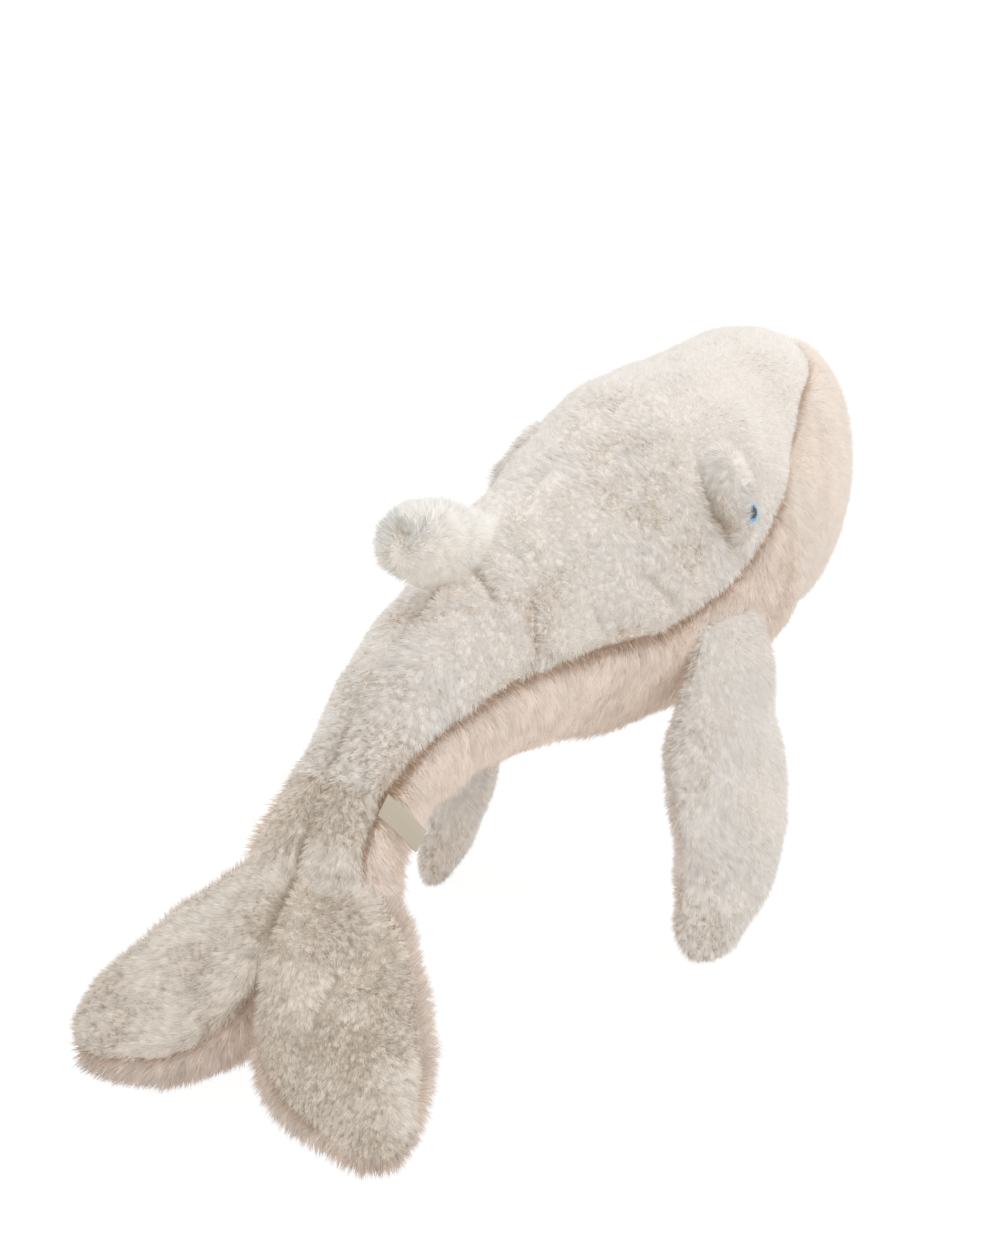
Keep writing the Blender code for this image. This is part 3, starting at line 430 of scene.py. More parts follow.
@dataclass(frozen=True)
class NylonFinish:
    """Moulded natural nylon of the washers, slightly cloudy."""

    name: str = "moulded_natural_nylon"
    light: str = "E9E7DD"
    dark: str = "D9D6C8"
    cloud_mm: float = 6.0

    def material(self) -> bpy.types.Material:
        """The finish as a material.

        Returns:
            The material.
        """
        material, tree = blank_material(self.name)
        place = add_node(tree, "TexCoord", output="Object")
        cloud = add_node(tree, "TexNoise", None, {
            "Vector": place, "Scale": 1 / (self.cloud_mm * MM)})
        colour = add_node(tree, "Mix", COLOURS,
                          {0: cloud, 6: linear(self.light), 7: linear(self.dark)}, 2)
        # Moulded nylon: a dull gloss over a milky white
        nylon = add_node(tree, "BsdfPrincipled", None, {
            "Base Color": colour, "Roughness": 0.4, "IOR": 1.53})
        add_node(tree, "OutputMaterial", None, {"Surface": nylon})
        return material


# ---------------------------------------------------------------- soft forms


def ripple(points: np.ndarray, size_mm: float, seed: int, waves: int = 9) -> np.ndarray:
    """A smooth, uneven field, about from -1 to 1.

    Args:
        points: Points in metres, the last axis of 3.
        size_mm: The size of its swells.
        seed: Which field.
        waves: How many plane waves it sums.

    Returns:
        A value for each point.
    """
    rng = np.random.default_rng(seed)
    ways = rng.normal(size=(waves, 3))
    ways /= np.linalg.norm(ways, axis=1, keepdims=True)
    ways *= (2 * math.pi / (2 * size_mm * MM * rng.uniform(0.7, 1.5, waves)))[:, None]
    turns = rng.uniform(0, 2 * math.pi, waves)
    return np.sin(points @ ways.T + turns).sum(-1) / math.sqrt(waves)


def unit(vectors: np.ndarray) -> np.ndarray:
    """Vectors made one long, where they have a length."""
    return vectors / np.maximum(np.linalg.norm(vectors, axis=-1, keepdims=True), 1e-9)


def swells(points: np.ndarray, rows: Sequence[tuple[float, float, int]]) -> np.ndarray:
    """How uneven stuffing lifts the cloth: swells, each of a height and a size in mm and a seed."""
    return sum(height * MM * ripple(points, size_mm, seed) for height, size_mm, seed in rows)


def cap_rows(roundness: float, steps: int) -> np.ndarray:
    """How far from a rounded end its rows of points lie, closest together at the end itself."""
    return roundness * (1 - np.cos(math.pi / 2 * np.arange(steps + 1) / steps))


def limb_rows(length: float, root: float, tip: float, middle: int, tip_steps: int) -> np.ndarray:
    """Where a limb's rows of points lie along it.

    Args:
        length: The limb's length.
        root: The length over which its root is round.
        tip: The length over which its tip is round.
        middle: Rows from the root's last to the tip's first.
        tip_steps: Steps over the tip.

    Returns:
        Arc lengths.
    """
    root_rows = cap_rows(root, 4)
    tip_rows = length - cap_rows(tip, tip_steps)[::-1]
    between = np.linspace(root_rows[-1], tip_rows[0], middle)[1:-1]
    return np.concatenate([root_rows, between, tip_rows])


def smooth_rows(rows: Sequence[Sequence[float]], steps: int = 12) -> np.ndarray:
    """A smooth curve through rows of numbers.

    Args:
        rows: The rows.
        steps: Samples from one row to the next.

    Returns:
        The samples and the last row.
    """
    table = np.asarray(rows, float)
    table = np.concatenate([[2 * table[0] - table[1]], table, [2 * table[-1] - table[-2]]])
    share = np.arange(steps)[:, None] / steps
    pieces = []
    for before, start, end, after in zip(table, table[1:], table[2:], table[3:]):
        pieces.append(0.5 * (2 * start + (end - before) * share
                             + (2 * before - 5 * start + 4 * end - after) * share ** 2
                             + (3 * start - before - 3 * end + after) * share ** 3))
    return np.concatenate([*pieces, table[-2:-1]])


class Form:
    """A stuffed form: oval rings strung along a line, closed round at either end or open."""

    def __init__(self, stations: Sequence[Sequence[float]], q_axis: Sequence[float],
                 p_axis: Optional[Sequence[float]] = None, start_cap: float = 0.0,
                 end_cap: float = 0.0) -> None:
        """Lay out the form.

        Args:
            stations: Rows of x, y, z, half size along p and half size along q.
            q_axis: The rings' second axis.
            p_axis: Their first axis, or None where it is square to the line.
            start_cap: Length over which the start closes.
            end_cap: Length over which the end closes.
        """
        rows = smooth_rows(stations)
        self.centres, self.sizes = rows[:, :3], rows[:, 3:]
        steps = np.linalg.norm(np.diff(self.centres, axis=0), axis=1)
        self.arcs = np.concatenate(([0.0], np.cumsum(steps)))
        self.length = float(self.arcs[-1])
        self.q_axis = np.asarray(q_axis, float)
        self.p_axis = None if p_axis is None else np.asarray(p_axis, float)
        self.start_cap, self.end_cap = start_cap, end_cap

    def centre(self, arc: np.ndarray) -> np.ndarray:
        """The line's points.

        Args:
            arc: Arc lengths, past whose ends the line runs straight on.

        Returns:
            The points, the last axis of 3.
        """
        arc = np.asarray(arc, float)
        inside = np.clip(arc, 0, self.length)
        line = np.stack([np.interp(inside, self.arcs, column) for column in self.centres.T], -1)
        first = unit(self.centres[1] - self.centres[0])
        last = unit(self.centres[-1] - self.centres[-2])
        past = (arc - inside)[..., None]
        return line + np.where(past < 0, first, last) * past

    def half_sizes(self, arc: np.ndarray) -> tuple[np.ndarray, np.ndarray]:
        """The two half sizes at arc lengths."""
        return tuple(np.interp(arc, self.arcs, column) for column in self.sizes.T)

    def tangent(self, arc: np.ndarray) -> np.ndarray:
        """The line's direction at arc lengths."""
        reach = 4 * MM
        return unit(self.centre(np.asarray(arc) + reach) - self.centre(np.asarray(arc) - reach))

    def points(self, arc: np.ndarray, angle: np.ndarray, inset: np.ndarray = 0.0) -> np.ndarray:
        """Points of the surface.

        Args:
            arc: Arc lengths.
            angle: Angles from p to q.
            inset: How far inside the surface.

        Returns:
            The points, the last axis of 3.
        """
        arc, angle, inset = np.broadcast_arrays(np.asarray(arc, float), angle, inset)
        place, shrink = arc, np.ones_like(arc)
        if self.start_cap:
            along = np.clip((self.start_cap - arc) / self.start_cap, 0, 1)
            shrink = np.sqrt(1 - along ** 2)
            place = np.where(along > 0, self.start_cap - (self.start_cap - inset) * along, place)
        if self.end_cap:
            along = np.clip((self.end_cap - self.length + arc) / self.end_cap, 0, 1)
            shrink = np.minimum(shrink, np.sqrt(1 - along ** 2))
            closing = self.length - self.end_cap + (self.end_cap - inset) * along
            place = np.where(along > 0, closing, place)
        p_size, q_size = self.half_sizes(arc)
        p_axis = self.p_axis
        if p_axis is None:
            p_axis = unit(np.cross(self.tangent(place), self.q_axis))
        return (self.centre(place)
                + p_axis * ((p_size - inset) * shrink * np.cos(angle))[..., None]
                + self.q_axis * ((q_size - inset) * shrink * np.sin(angle))[..., None])

    def panel(self, arcs: np.ndarray, turns: np.ndarray, inset: float, core: tuple[float, float]
              ) -> tuple[np.ndarray, np.ndarray, np.ndarray, np.ndarray]:
        """A limb's panel.

        Args:
            arcs: The arc lengths of its rows.
            turns: The angles of its columns.
            inset: How far inside the surface it lies.
            core: How far from either end the points stay that tell which side is the inner one.

        Returns:
            The grid's arc lengths, its angles, its points, and points on its inner side.
        """
        grid, angles = np.broadcast_arrays(arcs[:, None], turns[None, :])
        points = self.points(grid, angles, inset)
        middle = self.centre(np.clip(grid, core[0], self.length - core[1]))
        return grid, angles, points, np.broadcast_to(middle, points.shape)

    def normal(self, arc: float, angle: float) -> np.ndarray:
        """The surface's outward direction at one point.

        Args:
            arc: The point's arc length.
            angle: Its angle from p to q.

        Returns:
            The direction, one long.
        """
        reach, turn = 5 * MM, math.radians(1)
        along = self.points(arc + reach, angle) - self.points(arc - reach, angle)
        around = self.points(arc, angle + turn) - self.points(arc, angle - turn)
        out = unit(np.cross(along, around))
        return out if out @ (self.points(arc, angle) - self.centre(arc)) > 0 else -out


# What a panel's pile is like at a place, where nothing else is said
EVEN_PILE = {
    "length": 1.0,                # share of the pile's full length
    "mottle": 1.0,                # 0 is smooth and pale, 1 is mottled
    "parting": 0.0,               # 1 where the pile parts and its roots show, darkened as painted shade
    "upright": 0.0}               # 1 where it stands up from the cloth


@dataclass
class Sheet:
    """A panel of fur cloth: a grid of points, with the way its pile lies and what it is like."""

    points: np.ndarray            # rows x columns x 3
    inside: np.ndarray            # points on its inner side
    flow: Optional[np.ndarray] = None
    marks: dict[str, np.ndarray] = field(default_factory=dict)
    normals: np.ndarray = field(init=False)

    def __post_init__(self) -> None:
        """Find the normals, a closed end's from those beside it, and fill in what is missing."""
        along = np.gradient(self.points, axis=0)
        normals = np.cross(along, np.gradient(self.points, axis=1))
        if np.sum(normals * (self.points - self.inside)) < 0:
            normals = -normals
        size = np.linalg.norm(normals, axis=-1)
        for row, near in ((0, 1), (-1, -2)):
            if size[row].max() < 0.02 * size[near].max():
                normals[row] = normals[near].mean(0)
        self.normals = unit(normals)
        self.flow = unit(along) if self.flow is None else self.flow
        shape = self.points.shape[:2]
        self.marks = {name: self.marks.get(name, np.full(shape, value))
                      for name, value in EVEN_PILE.items()}

    def pushed(self, height: np.ndarray) -> "Sheet":
        """The sheet pushed out along its normals, with its pile as it was."""
        return replace(self, points=self.points + self.normals * height[..., None])

    def part(self, rows: slice) -> "Sheet":
        """Some of the sheet's rows."""
        marks = {name: grid[rows] for name, grid in self.marks.items()}
        return Sheet(self.points[rows], self.inside[rows], self.flow[rows], marks)

    def mirrored(self) -> "Sheet":
        """The sheet on the whale's other side."""
        return self.moved(np.diag((-1.0, 1.0, 1.0)))

    def moved(self, turn: np.ndarray, shift: Sequence[float] = (0.0, 0.0, 0.0)) -> "Sheet":
        """The sheet turned or mirrored, then shifted.

        Args:
            turn: The turn, 3 x 3.
            shift: The shift.

        Returns:
            The moved sheet.
        """
        return replace(self, points=self.points @ turn.T + shift,
                       inside=self.inside @ turn.T + shift, flow=self.flow @ turn.T)

    def set_down(self) -> "Sheet":
        """Set the sheet down on the floor, and keep it from passing through.

        Returns:
            The sheet as it stands.
        """
        sheet = self.moved(*SET_DOWN_PARTS)
        sheet.points[..., 2] = np.maximum(sheet.points[..., 2], FLOOR_CLEARANCE)
        return replace(sheet)

    def cloth(self, name: str, thickness: float) -> bpy.types.Object:
        """The sheet as a closed piece of cloth.

        Args:
            name: The piece's name.
            thickness: The cloth's thickness.

        Returns:
            The piece.
        """
        faces = quads(*self.points.shape[:2])
        flat = self.points.reshape(-1, 3)
        corners = flat[faces]
        turned = np.cross(corners[:, 2] - corners[:, 0], corners[:, 3] - corners[:, 1])
        if np.sum(turned * self.normals.reshape(-1, 3)[faces[:, 0]]) < 0:
            faces = faces[:, ::-1]
        mesh = bpy.data.meshes.new(name)
        mesh.from_pydata(flat.tolist(), [], faces.tolist())
        # The cloth takes its finish's root colour, darker where the pile parts: painted shade under
        # the pile
        note(mesh, "mottle", self.marks["mottle"].ravel())
        note(mesh, "deep", self.marks["parting"].ravel())
        piece = put_in_scene(name, mesh)
        choose(piece)
        reshape(bpy.ops.mesh.remove_doubles, threshold=0.02 * MM)
        thicken(piece, thickness, -1)
        bpy.ops.object.shade_smooth()
        return piece


@dataclass(frozen=True)
class Pile:
    """How a fur pile grows: sizes in mm, its density in blades for each square mm."""

    length: float = 6.8
    density: float = 3.0
    width: float = 0.75
    lean: float = 56.0            # degrees from straight up
    swirl: float = 0.7            # how far its lie wanders, in radians
    tuft: float = 3.3
    gather: float = 0.6           # how far the tips of a tuft draw together
    stray: float = 0.05
    wander: float = 0.2           # how far a blade turns from its neighbours' way, in radians
    lean_spread: float = 0.12
    length_spread: float = 0.22   # as a share of the length
    width_spread: float = 0.3
    twist: float = 0.4
    bent: bool = False            # two-part blades, for the longer piles


LONG_PILE = Pile(length=12.5, density=1.6, width=0.75, lean=68.0, swirl=0.3, tuft=6.5, gather=0.5,
                 bent=True)
FRINGE_PILE = replace(LONG_PILE, length=9.5, density=2.2, width=0.65, lean=58.0, tuft=4.5)
FACE_PILE = Pile(length=7.5, density=2.7, width=0.7, lean=60.0, swirl=0.5, tuft=5.0, gather=0.3)


@dataclass(frozen=True)
class Blade:
    """How a blade is drawn: the corners of its faces, and where each corner stands on it."""

    around: tuple[int, ...]
    starts: tuple[int, ...]       # where in around each face starts
    rises: tuple[float, ...]      # 0 at the root and 1 at the tip
    sides: tuple[int, ...]        # -1 and 1 on its edges


STRAIGHT_BLADE = Blade((0, 1, 2), (0,), (0.0, 0.0, 1.0), (-1, 1, 0))
BENT_BLADE = Blade((0, 1, 2, 3, 3, 2, 4), (0, 4), (0.0, 0.0, 0.5, 0.5, 1.0), (-1, 1, 1, -1, 0))


def tufts(points: np.ndarray, size: float, seed: int) -> tuple[np.ndarray, np.ndarray]:
    """The nearest tuft's middle for each point.

    Args:
        points: Points in metres.
        size: The spacing of the tufts.
        seed: Which tufts.

    Returns:
        The middles, and a number from -1 to 1 that belongs to each tuft.
    """
    cells = np.floor(points / size).astype(np.int64)
    best = np.full(len(points), np.inf)
    middles, marks = np.zeros_like(points), np.zeros(len(points))
    for step in itertools.product((-1, 0, 1), repeat=3):
        near = cells + np.array(step)
        key = (near @ np.array((73856093, 19349663, 83492791)) + seed * 7919) & 0xFFFFFFFF
        key = ((key ^ (key >> 15)) * 2246822519) & 0xFFFFFFFF
        parts = np.stack([((key >> shift) & 0x3FF) / 1023 for shift in (0, 11, 21)], -1)
        places = (near + parts) * size
        gap = np.sum((places - points) ** 2, -1)
        closer = gap < best
        best[closer] = gap[closer]
        middles[closer] = places[closer]
        marks[closer] = (((key * 40503) & 0xFFFF) / 32767.5 - 1)[closer]
    return middles, marks


def grow(name: str, sheet: Sheet, pile: Pile, seed: int) -> bpy.types.Object:
    """Grow a pile on a sheet.

    Args:
        name: The piece's name.
        sheet: The cloth that it grows on, as it stands.
        pile: How it grows.
        seed: Start of the random draws.

    Returns:
        One mesh of all the blades.
    """
    rng = np.random.default_rng(seed)
    points = sheet.points
    falling, rising = points[1:, 1:] - points[:-1, :-1], points[1:, :-1] - points[:-1, 1:]
    areas = np.linalg.norm(np.cross(falling, rising), axis=-1) / 2
    total = areas.sum()
    count = int(total / MM ** 2 * pile.density)
    picks = (np.arange(count) + rng.random(count)) / count * total
    cell = np.minimum(np.searchsorted(np.cumsum(areas.ravel()), picks), areas.size - 1)
    row, column = np.divmod(cell, areas.shape[1])
    down, side = rng.random((2, count))

    def at(grid: np.ndarray) -> np.ndarray:
        """The grid's values at the blades.

        Args:
            grid: Rows x columns x values.

        Returns:
            A row of values for each blade.
        """
        parts = [grid[row + r, column + c].reshape(count, -1) * (wr * wc)[:, None]
                 for r, wr in ((0, 1 - down), (1, down)) for c, wc in ((0, 1 - side), (1, side))]
        return sum(parts)

    def across(vectors: np.ndarray) -> np.ndarray:
        """What is left of vectors along the cloth."""
        return vectors - normals * np.sum(vectors * normals, -1, keepdims=True)

    roots, normals = at(points), unit(at(sheet.normals))
    share, mottle, parting, upright = (at(sheet.marks[mark][..., None])[:, 0] for mark in EVEN_PILE)
    mottled = np.clip(mottle, 0, 1)
    curly = 0.35 + 0.65 * mottled

    # The way it lies wanders in swirls
    flow = unit(across(at(sheet.flow)))
    swirl = 0.8 * ripple(roots, 38, seed + 1) + 0.45 * curly * ripple(roots, 13, seed + 2)
    turn = pile.swirl * swirl
    turn += rng.normal(0, pile.wander, count)
    flow = flow * np.cos(turn)[:, None] + np.cross(normals, flow) * np.sin(turn)[:, None]

    # Short pile leans more, and a blade steepens towards its root
    lean = math.radians(pile.lean) + 0.10 * ripple(roots, 30, seed + 3)
    lean += rng.normal(0, pile.lean_spread, count)
    lean = np.clip(lean + 0.4 * (1 - share), 0.15, 1.4)[:, None] * (1 - 0.7 * upright[:, None])
    rise = normals * np.cos(lean) + flow * np.sin(lean)
    steep = normals * np.cos(lean * 0.6) + flow * np.sin(lean * 0.6)

    # The tips of a tuft draw together, and over a parting they are shorter
    middles, marks = tufts(roots, pile.tuft * MM, seed)
    pull = across(middles - roots) * curly[:, None]
    length = (1 + 0.10 * ripple(roots, 22, seed + 4) + 0.10 * marks
              + rng.uniform(-pile.length_spread, pile.length_spread, count))
    length = (pile.length * MM * share * length * (1 - 0.4 * parting))[:, None]
    stray = rng.normal(0, pile.stray, (count, 3)) * length
    middle = roots + steep * length * 0.5 + pull * (0.35 * pile.gather) + stray * 0.3
    tip = roots + steep * length * 0.45 + rise * length * 0.55 + pull * pile.gather + stray
    base = roots - normals * 0.5 * MM

    # Its flat side lies along the cloth, a little twisted, with the cloth's own side up
    wide = np.cross(rise, normals) + rng.normal(0, pile.twist, (count, 3))
    wide = unit(wide - rise * np.sum(wide * rise, -1, keepdims=True))
    thin, thick = 1 - pile.width_spread, 1 + pile.width_spread
    wide *= (pile.width * MM / 2 * rng.uniform(thin, thick, count))[:, None]
    facing = np.cross(wide, rise)
    upside = np.sum(facing * normals, -1, keepdims=True) < 0
    wide, facing = np.where(upside, -wide, wide), unit(np.where(upside, -facing, facing))

    # It is shaded nearly as the cloth is, as a lock of fibres spreads light, and never from behind
    shading = unit(normals + 0.2 * facing - pull / (pile.tuft * MM) * 0.5)
    shading += normals * np.maximum(0.1 - np.sum(shading * facing, -1, keepdims=True), 0) * 2
    # Tone differs at random by tuft and blade, and drops over a parting as painted shade
    tone = (0.6 * marks + rng.uniform(-0.4, 0.4, count)) * (0.3 + 0.7 * mottled) - 0.3 * parting
    spot = np.stack([(column + side) / areas.shape[1], (row + down) / areas.shape[0]], -1)
    if pile.bent:
        blade = BENT_BLADE
        narrower = wide * 0.8
        verts = np.stack([base - wide, base + wide, middle + narrower, middle - narrower, tip], 1)
    else:
        blade = STRAIGHT_BLADE
        verts = np.stack([base - wide, base + wide, tip], 1)
    verts[..., 2] = np.maximum(verts[..., 2], FLOOR_CLEARANCE)
    grown = share > 0.05
    verts, shading, tone, parting, mottle, spot = (
        grid[grown] for grid in (verts, shading, np.clip(tone, -1, 1), parting, mottle, spot))

    count, size = verts.shape[:2]
    numbers = np.arange(count)[:, None]
    mesh = bpy.data.meshes.new(name)
    mesh.vertices.add(count * size)
    mesh.vertices.foreach_set("co", verts.astype(np.float32).ravel())
    corners = (numbers * size + np.array(blade.around)).ravel()
    mesh.loops.add(len(corners))
    mesh.loops.foreach_set("vertex_index", corners)
    mesh.polygons.add(count * len(blade.starts))
    starts = numbers * len(blade.around) + np.array(blade.starts)
    mesh.polygons.foreach_set("loop_start", starts.ravel())
    mesh.update(calc_edges=True)
    # Each blade's place on the map is its root's place in the panel
    drawn = np.stack([np.array(blade.sides) * 0.002, np.array(blade.rises) * 0.008], -1)
    mapped = (spot[:, None] * 0.98 + 0.01 + drawn)[:, blade.around]
    mesh.uv_layers.new(name="OFBake").uv.foreach_set("vector", mapped.astype(np.float32).ravel())
    # Over a parting a blade shows more of its darker root colour: painted shade
    note(mesh, "along", (np.array(blade.rises) * (1 - 0.6 * parting[:, None])).ravel())
    for title, values in (("tone", tone), ("mottle", mottle), ("deep", parting)):
        note(mesh, title, np.repeat(values, size))
    note(mesh, "custom_normal", np.repeat(unit(shading), size, 0))
    piece = put_in_scene(name, mesh)
    # Light passes through a real pile and spreads in it, so a blade doesn't shade or dim the next;
    # the shade in the pile is painted into the colours instead
    piece.visible_shadow = piece.visible_diffuse = False
    piece.visible_glossy = piece.visible_transmission = False
    return piece


@dataclass(frozen=True)
class Hold:
    """What a piece moves with: one body, or two and the stretch over which it bends."""

    body: str
    next_body: str = ""
    start: tuple[float, ...] = ()
    end: tuple[float, ...] = ()

    def attach(self, piece: bpy.types.Object) -> None:
        """Fix a finished piece to its body, or, where it moves with two, only bake its place into
        its mesh.

        Args:
            piece: The piece.
        """
        if self.next_body:
            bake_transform(piece)
        else:
            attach(piece, self.body)


class Tailor:
    """Sews the panels: cloth, its pile and what holds them."""

    cloth_thickness = 1.5 * MM

    def __init__(self) -> None:
        """Start with no dye and painted shade mixed, and nothing sewn."""
        self.materials: dict[str, bpy.types.Material] = {}
        self.seed = 100
        self.triangles = 0        # of pile, in all

    def dye_and_painted_shade(self, finish: FurFinish) -> bpy.types.Material:
        """The finish's material, made on first use.

        Args:
            finish: The finish.

        Returns:
            Its material.
        """
        if finish.name not in self.materials:
            self.materials[finish.name] = finish.material()
        return self.materials[finish.name]

    def sew(self, name: str, sheet: Sheet, pile: Pile, finish: FurFinish, hold: Hold,
            stands_for: Sequence[str] = (), pile_parts: int = 1,
            free_row: int = 0) -> None:
        """Make one panel.

        Args:
            name: The panel's name, to which cloth and pile are added.
            sheet: Its shape in the drawing.
            pile: How its pile grows.
            finish: Its dye and painted shade.
            hold: What it moves with.
            stands_for: The solids that it stands for.
            pile_parts: How many pieces a large panel's pile is made in.
            free_row: The row from which the pile is a piece of its own, which turns whole with
                the second body.
        """
        sheet = sheet.set_down()
        cloth = sheet.cloth(name + "_cloth", self.cloth_thickness)
        self.seed += 10
        furs = []
        cuts = np.linspace(0, len(sheet.points) - 1, pile_parts + 1).round().astype(int)
        if free_row:
            cuts = np.array((0, free_row, len(sheet.points) - 1))
        for number, (first, last) in enumerate(zip(cuts, cuts[1:])):
            title = name + "_pile" + (f"_{number + 1}" if len(cuts) > 2 else "")
            furs.append(grow(title, sheet.part(slice(first, last + 1)), pile, self.seed + number))
        for piece in (cloth, *furs):
            dress(piece, self.dye_and_painted_shade(finish))
            whole = free_row and piece is furs[-1]
            (Hold(hold.next_body) if whole else hold).attach(piece)
        if stands_for:
            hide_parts(*stands_for)
        self.triangles += sum(len(fur.data.loops) - 2 * len(fur.data.polygons) for fur in furs)


def world_point(point: Sequence[float]) -> tuple[float, float, float]:
    """A point of the drawing, as it stands."""
    return tuple(SET_DOWN @ Vector(point))


# ---------------------------------------------------------------- the whale


@dataclass(frozen=True)
class Groove:
    """A line pressed into the cloth, over which the pile parts: sizes in mm."""

    depth: float
    width: float
    parting: float                # how far the pile parts over it, 1 at most, and how much it is darkened as painted shade
    parting_width: float

    def press(self, gap: np.ndarray, height: np.ndarray, parting: np.ndarray,
              share: Union[float, np.ndarray] = 1.0) -> None:
        """Press the line into a sheet.

        Args:
            gap: How far each point is from the line.
            height: The points' heights, which this changes.
            parting: How far the pile parts at them, which this changes.
            share: How much of the line there is at each point.
        """
        height -= self.depth * MM * np.exp(-(gap / (self.width * MM)) ** 2) * share
        # Where the pile parts over the line, its colour is darkened: painted shade in the groove
        parting += self.parting * np.exp(-(gap / (self.parting_width * MM)) ** 2) * share


@dataclass(frozen=True)
class Crease:
    """A fold in the cloth, from one place to another: mm along the spine and degrees round."""

    start: tuple[float, float]
    end: tuple[float, float]
    depth: float = 2.6
    width: float = 3.5
    parts_at: float = 3.4         # the depth at which the pile parts all the way
    parting_share: float = 0.6    # of the width, over which it parts

    def press(self, arc: np.ndarray, side: np.ndarray, radius: np.ndarray, height: np.ndarray,
              parting: np.ndarray) -> None:
        """Press the fold into a sheet of the trunk.

        Args:
            arc: The points' arc lengths.
            side: Their angles from the back, the same on both sides.
            radius: The trunk's radius there.
            height: The points' heights, which this changes.
            parting: How far the pile parts at them, which this changes.
        """
        (from_arc, to_arc), (from_turn, to_turn) = zip(self.start, self.end)
        from_arc, to_arc = from_arc * MM, to_arc * MM
        from_turn, to_turn = math.radians(from_turn), math.radians(to_turn)
        here = np.stack([arc - from_arc, (side - from_turn) * radius], -1)
        line = np.stack([np.full_like(radius, to_arc - from_arc),
                         (to_turn - from_turn) * radius], -1)
        share = np.clip(np.sum(here * line, -1) / np.sum(line * line, -1), 0, 1)
        gap = np.linalg.norm(here - line * share[..., None], axis=-1)
        fade = np.sin(math.pi * np.clip(share * 0.86 + 0.07, 0, 1)) ** 0.5
        groove = Groove(self.depth, self.width, self.depth / self.parts_at,
                        self.parting_share * self.width)
        groove.press(gap, height, parting, fade)


FLANK_CREASES = (
    Crease((383.5, 4.0), (394.7, 38.0), 3.4), Crease((372.3, 47.5), (389.1, 88.5), 3.0),
    Crease((364.8, 23.0), (364.8, 34.0), 2.2, 3.0), Crease((323.7, 42.0), (325.6, 51.0), 2.2, 3.0),
    Crease((357.4, 64.0), (355.5, 73.0), 2.0, 3.0), Crease((334.9, 92.0), (338.7, 70.0), 1.6, 5.0),
    Crease((424.6, 11.5), (407.8, 27.0), 2.4), Crease((277.1, 92.0), (305.0, 63.0), 1.8, 8.0),
    Crease((452.0, 42.0), (447.0, 64.0), 1.4, 5.0))


@dataclass(frozen=True)
class EyeSeat:
    """The stuffed mound behind and over an eye, the bare cloth under it and the pile round it."""

    behind: float = 0.006         # from the eye back and up to the middle of the mound
    above: float = 0.008
    front: float = 0.014          # the mound's reach ahead, behind, above and below its middle
    rear: float = 0.009
    over: float = 0.034
    under: float = 0.026
    lean: float = 0.5             # how far its upper part lies further ahead
    rise: float = 0.019
    cover: float = 1.4            # how many times nearer the eye's middle it starts behind the eye
    left_share: float = 0.5       # of the mound's rise on the left, where it is stuffed less
    crease: float = 4.2 * MM      # depth of the fold behind the mound
    crease_at: float = 1.35       # and where it lies and how wide it is, in the mound's reaches
    crease_width: float = 0.40
    parting_at: float = 1.25
    parting_width: float = 0.36
    bare: float = 0.0088          # radius of the bare cloth under the eye
    seat: float = 0.0062          # how far out the cloth is drawn under it
    seat_reach: float = 10.8 * MM
    rim: float = 10.5 * MM        # radius of the rim of other pile round it
    rim_width: float = 3.5 * MM

    def press(self, behind: np.ndarray, below: np.ndarray, on_left: np.ndarray, height: np.ndarray,
              parting: np.ndarray) -> tuple[np.ndarray, np.ndarray]:
        """Draw the cloth out over the mound and under the eye.

        Args:
            behind: How far behind the eye each point is.
            below: How far below it.
            on_left: Which points are on the whale's left.
            height: The points' heights, which this changes.
            parting: How far the pile parts at them, which this changes.

        Returns:
            The length of the pile, as a share, and the rim: 1 on it.
        """
        fullness = np.where(on_left, self.left_share, 1.0)
        eye_gap = np.hypot(behind * np.where((behind > 0) & ~on_left, self.cover, 1.0), below)
        ahead_of_eye = np.where(on_left, 0.0, 1 / (1 + np.exp(behind / (2 * MM))))
        behind, below = behind - self.behind, below + self.above
        behind = behind - self.lean * np.minimum(below, 0)
        upright_reach = np.where(below > 0, self.under, self.over)
        rear = self.rear * (1 - 0.5 * np.clip(below / upright_reach, -1, 1))
        reach = np.hypot(behind / np.where(behind > 0, rear, self.front), below / upright_reach)
        height += np.clip(1 - reach ** 2, 0, 1) ** 0.6 * self.rise * fullness
        rear_side = (behind / rear + 0.3 * below / self.under) / np.maximum(reach, 0.1)
        rear_side = np.clip(rear_side, 0, 1) * fullness
        crease = np.exp(-((reach - self.crease_at) / self.crease_width) ** 2)
        height -= self.crease * rear_side * crease
        # The pile parts in the fold behind the mound, which darkens it as painted shade
        parting += rear_side * np.exp(-((reach - self.parting_at) / self.parting_width) ** 2)
        near = np.exp(-(eye_gap / self.seat_reach) ** 8)
        height *= 1 - near
        height += self.seat * near
        rim = np.exp(-((eye_gap - self.rim) / self.rim_width) ** 2)
        length = 1 + rim * np.where(on_left, 0.9, 0.1 - 0.5 * ahead_of_eye)
        return np.where(eye_gap < self.bare, 0.0, length), rim


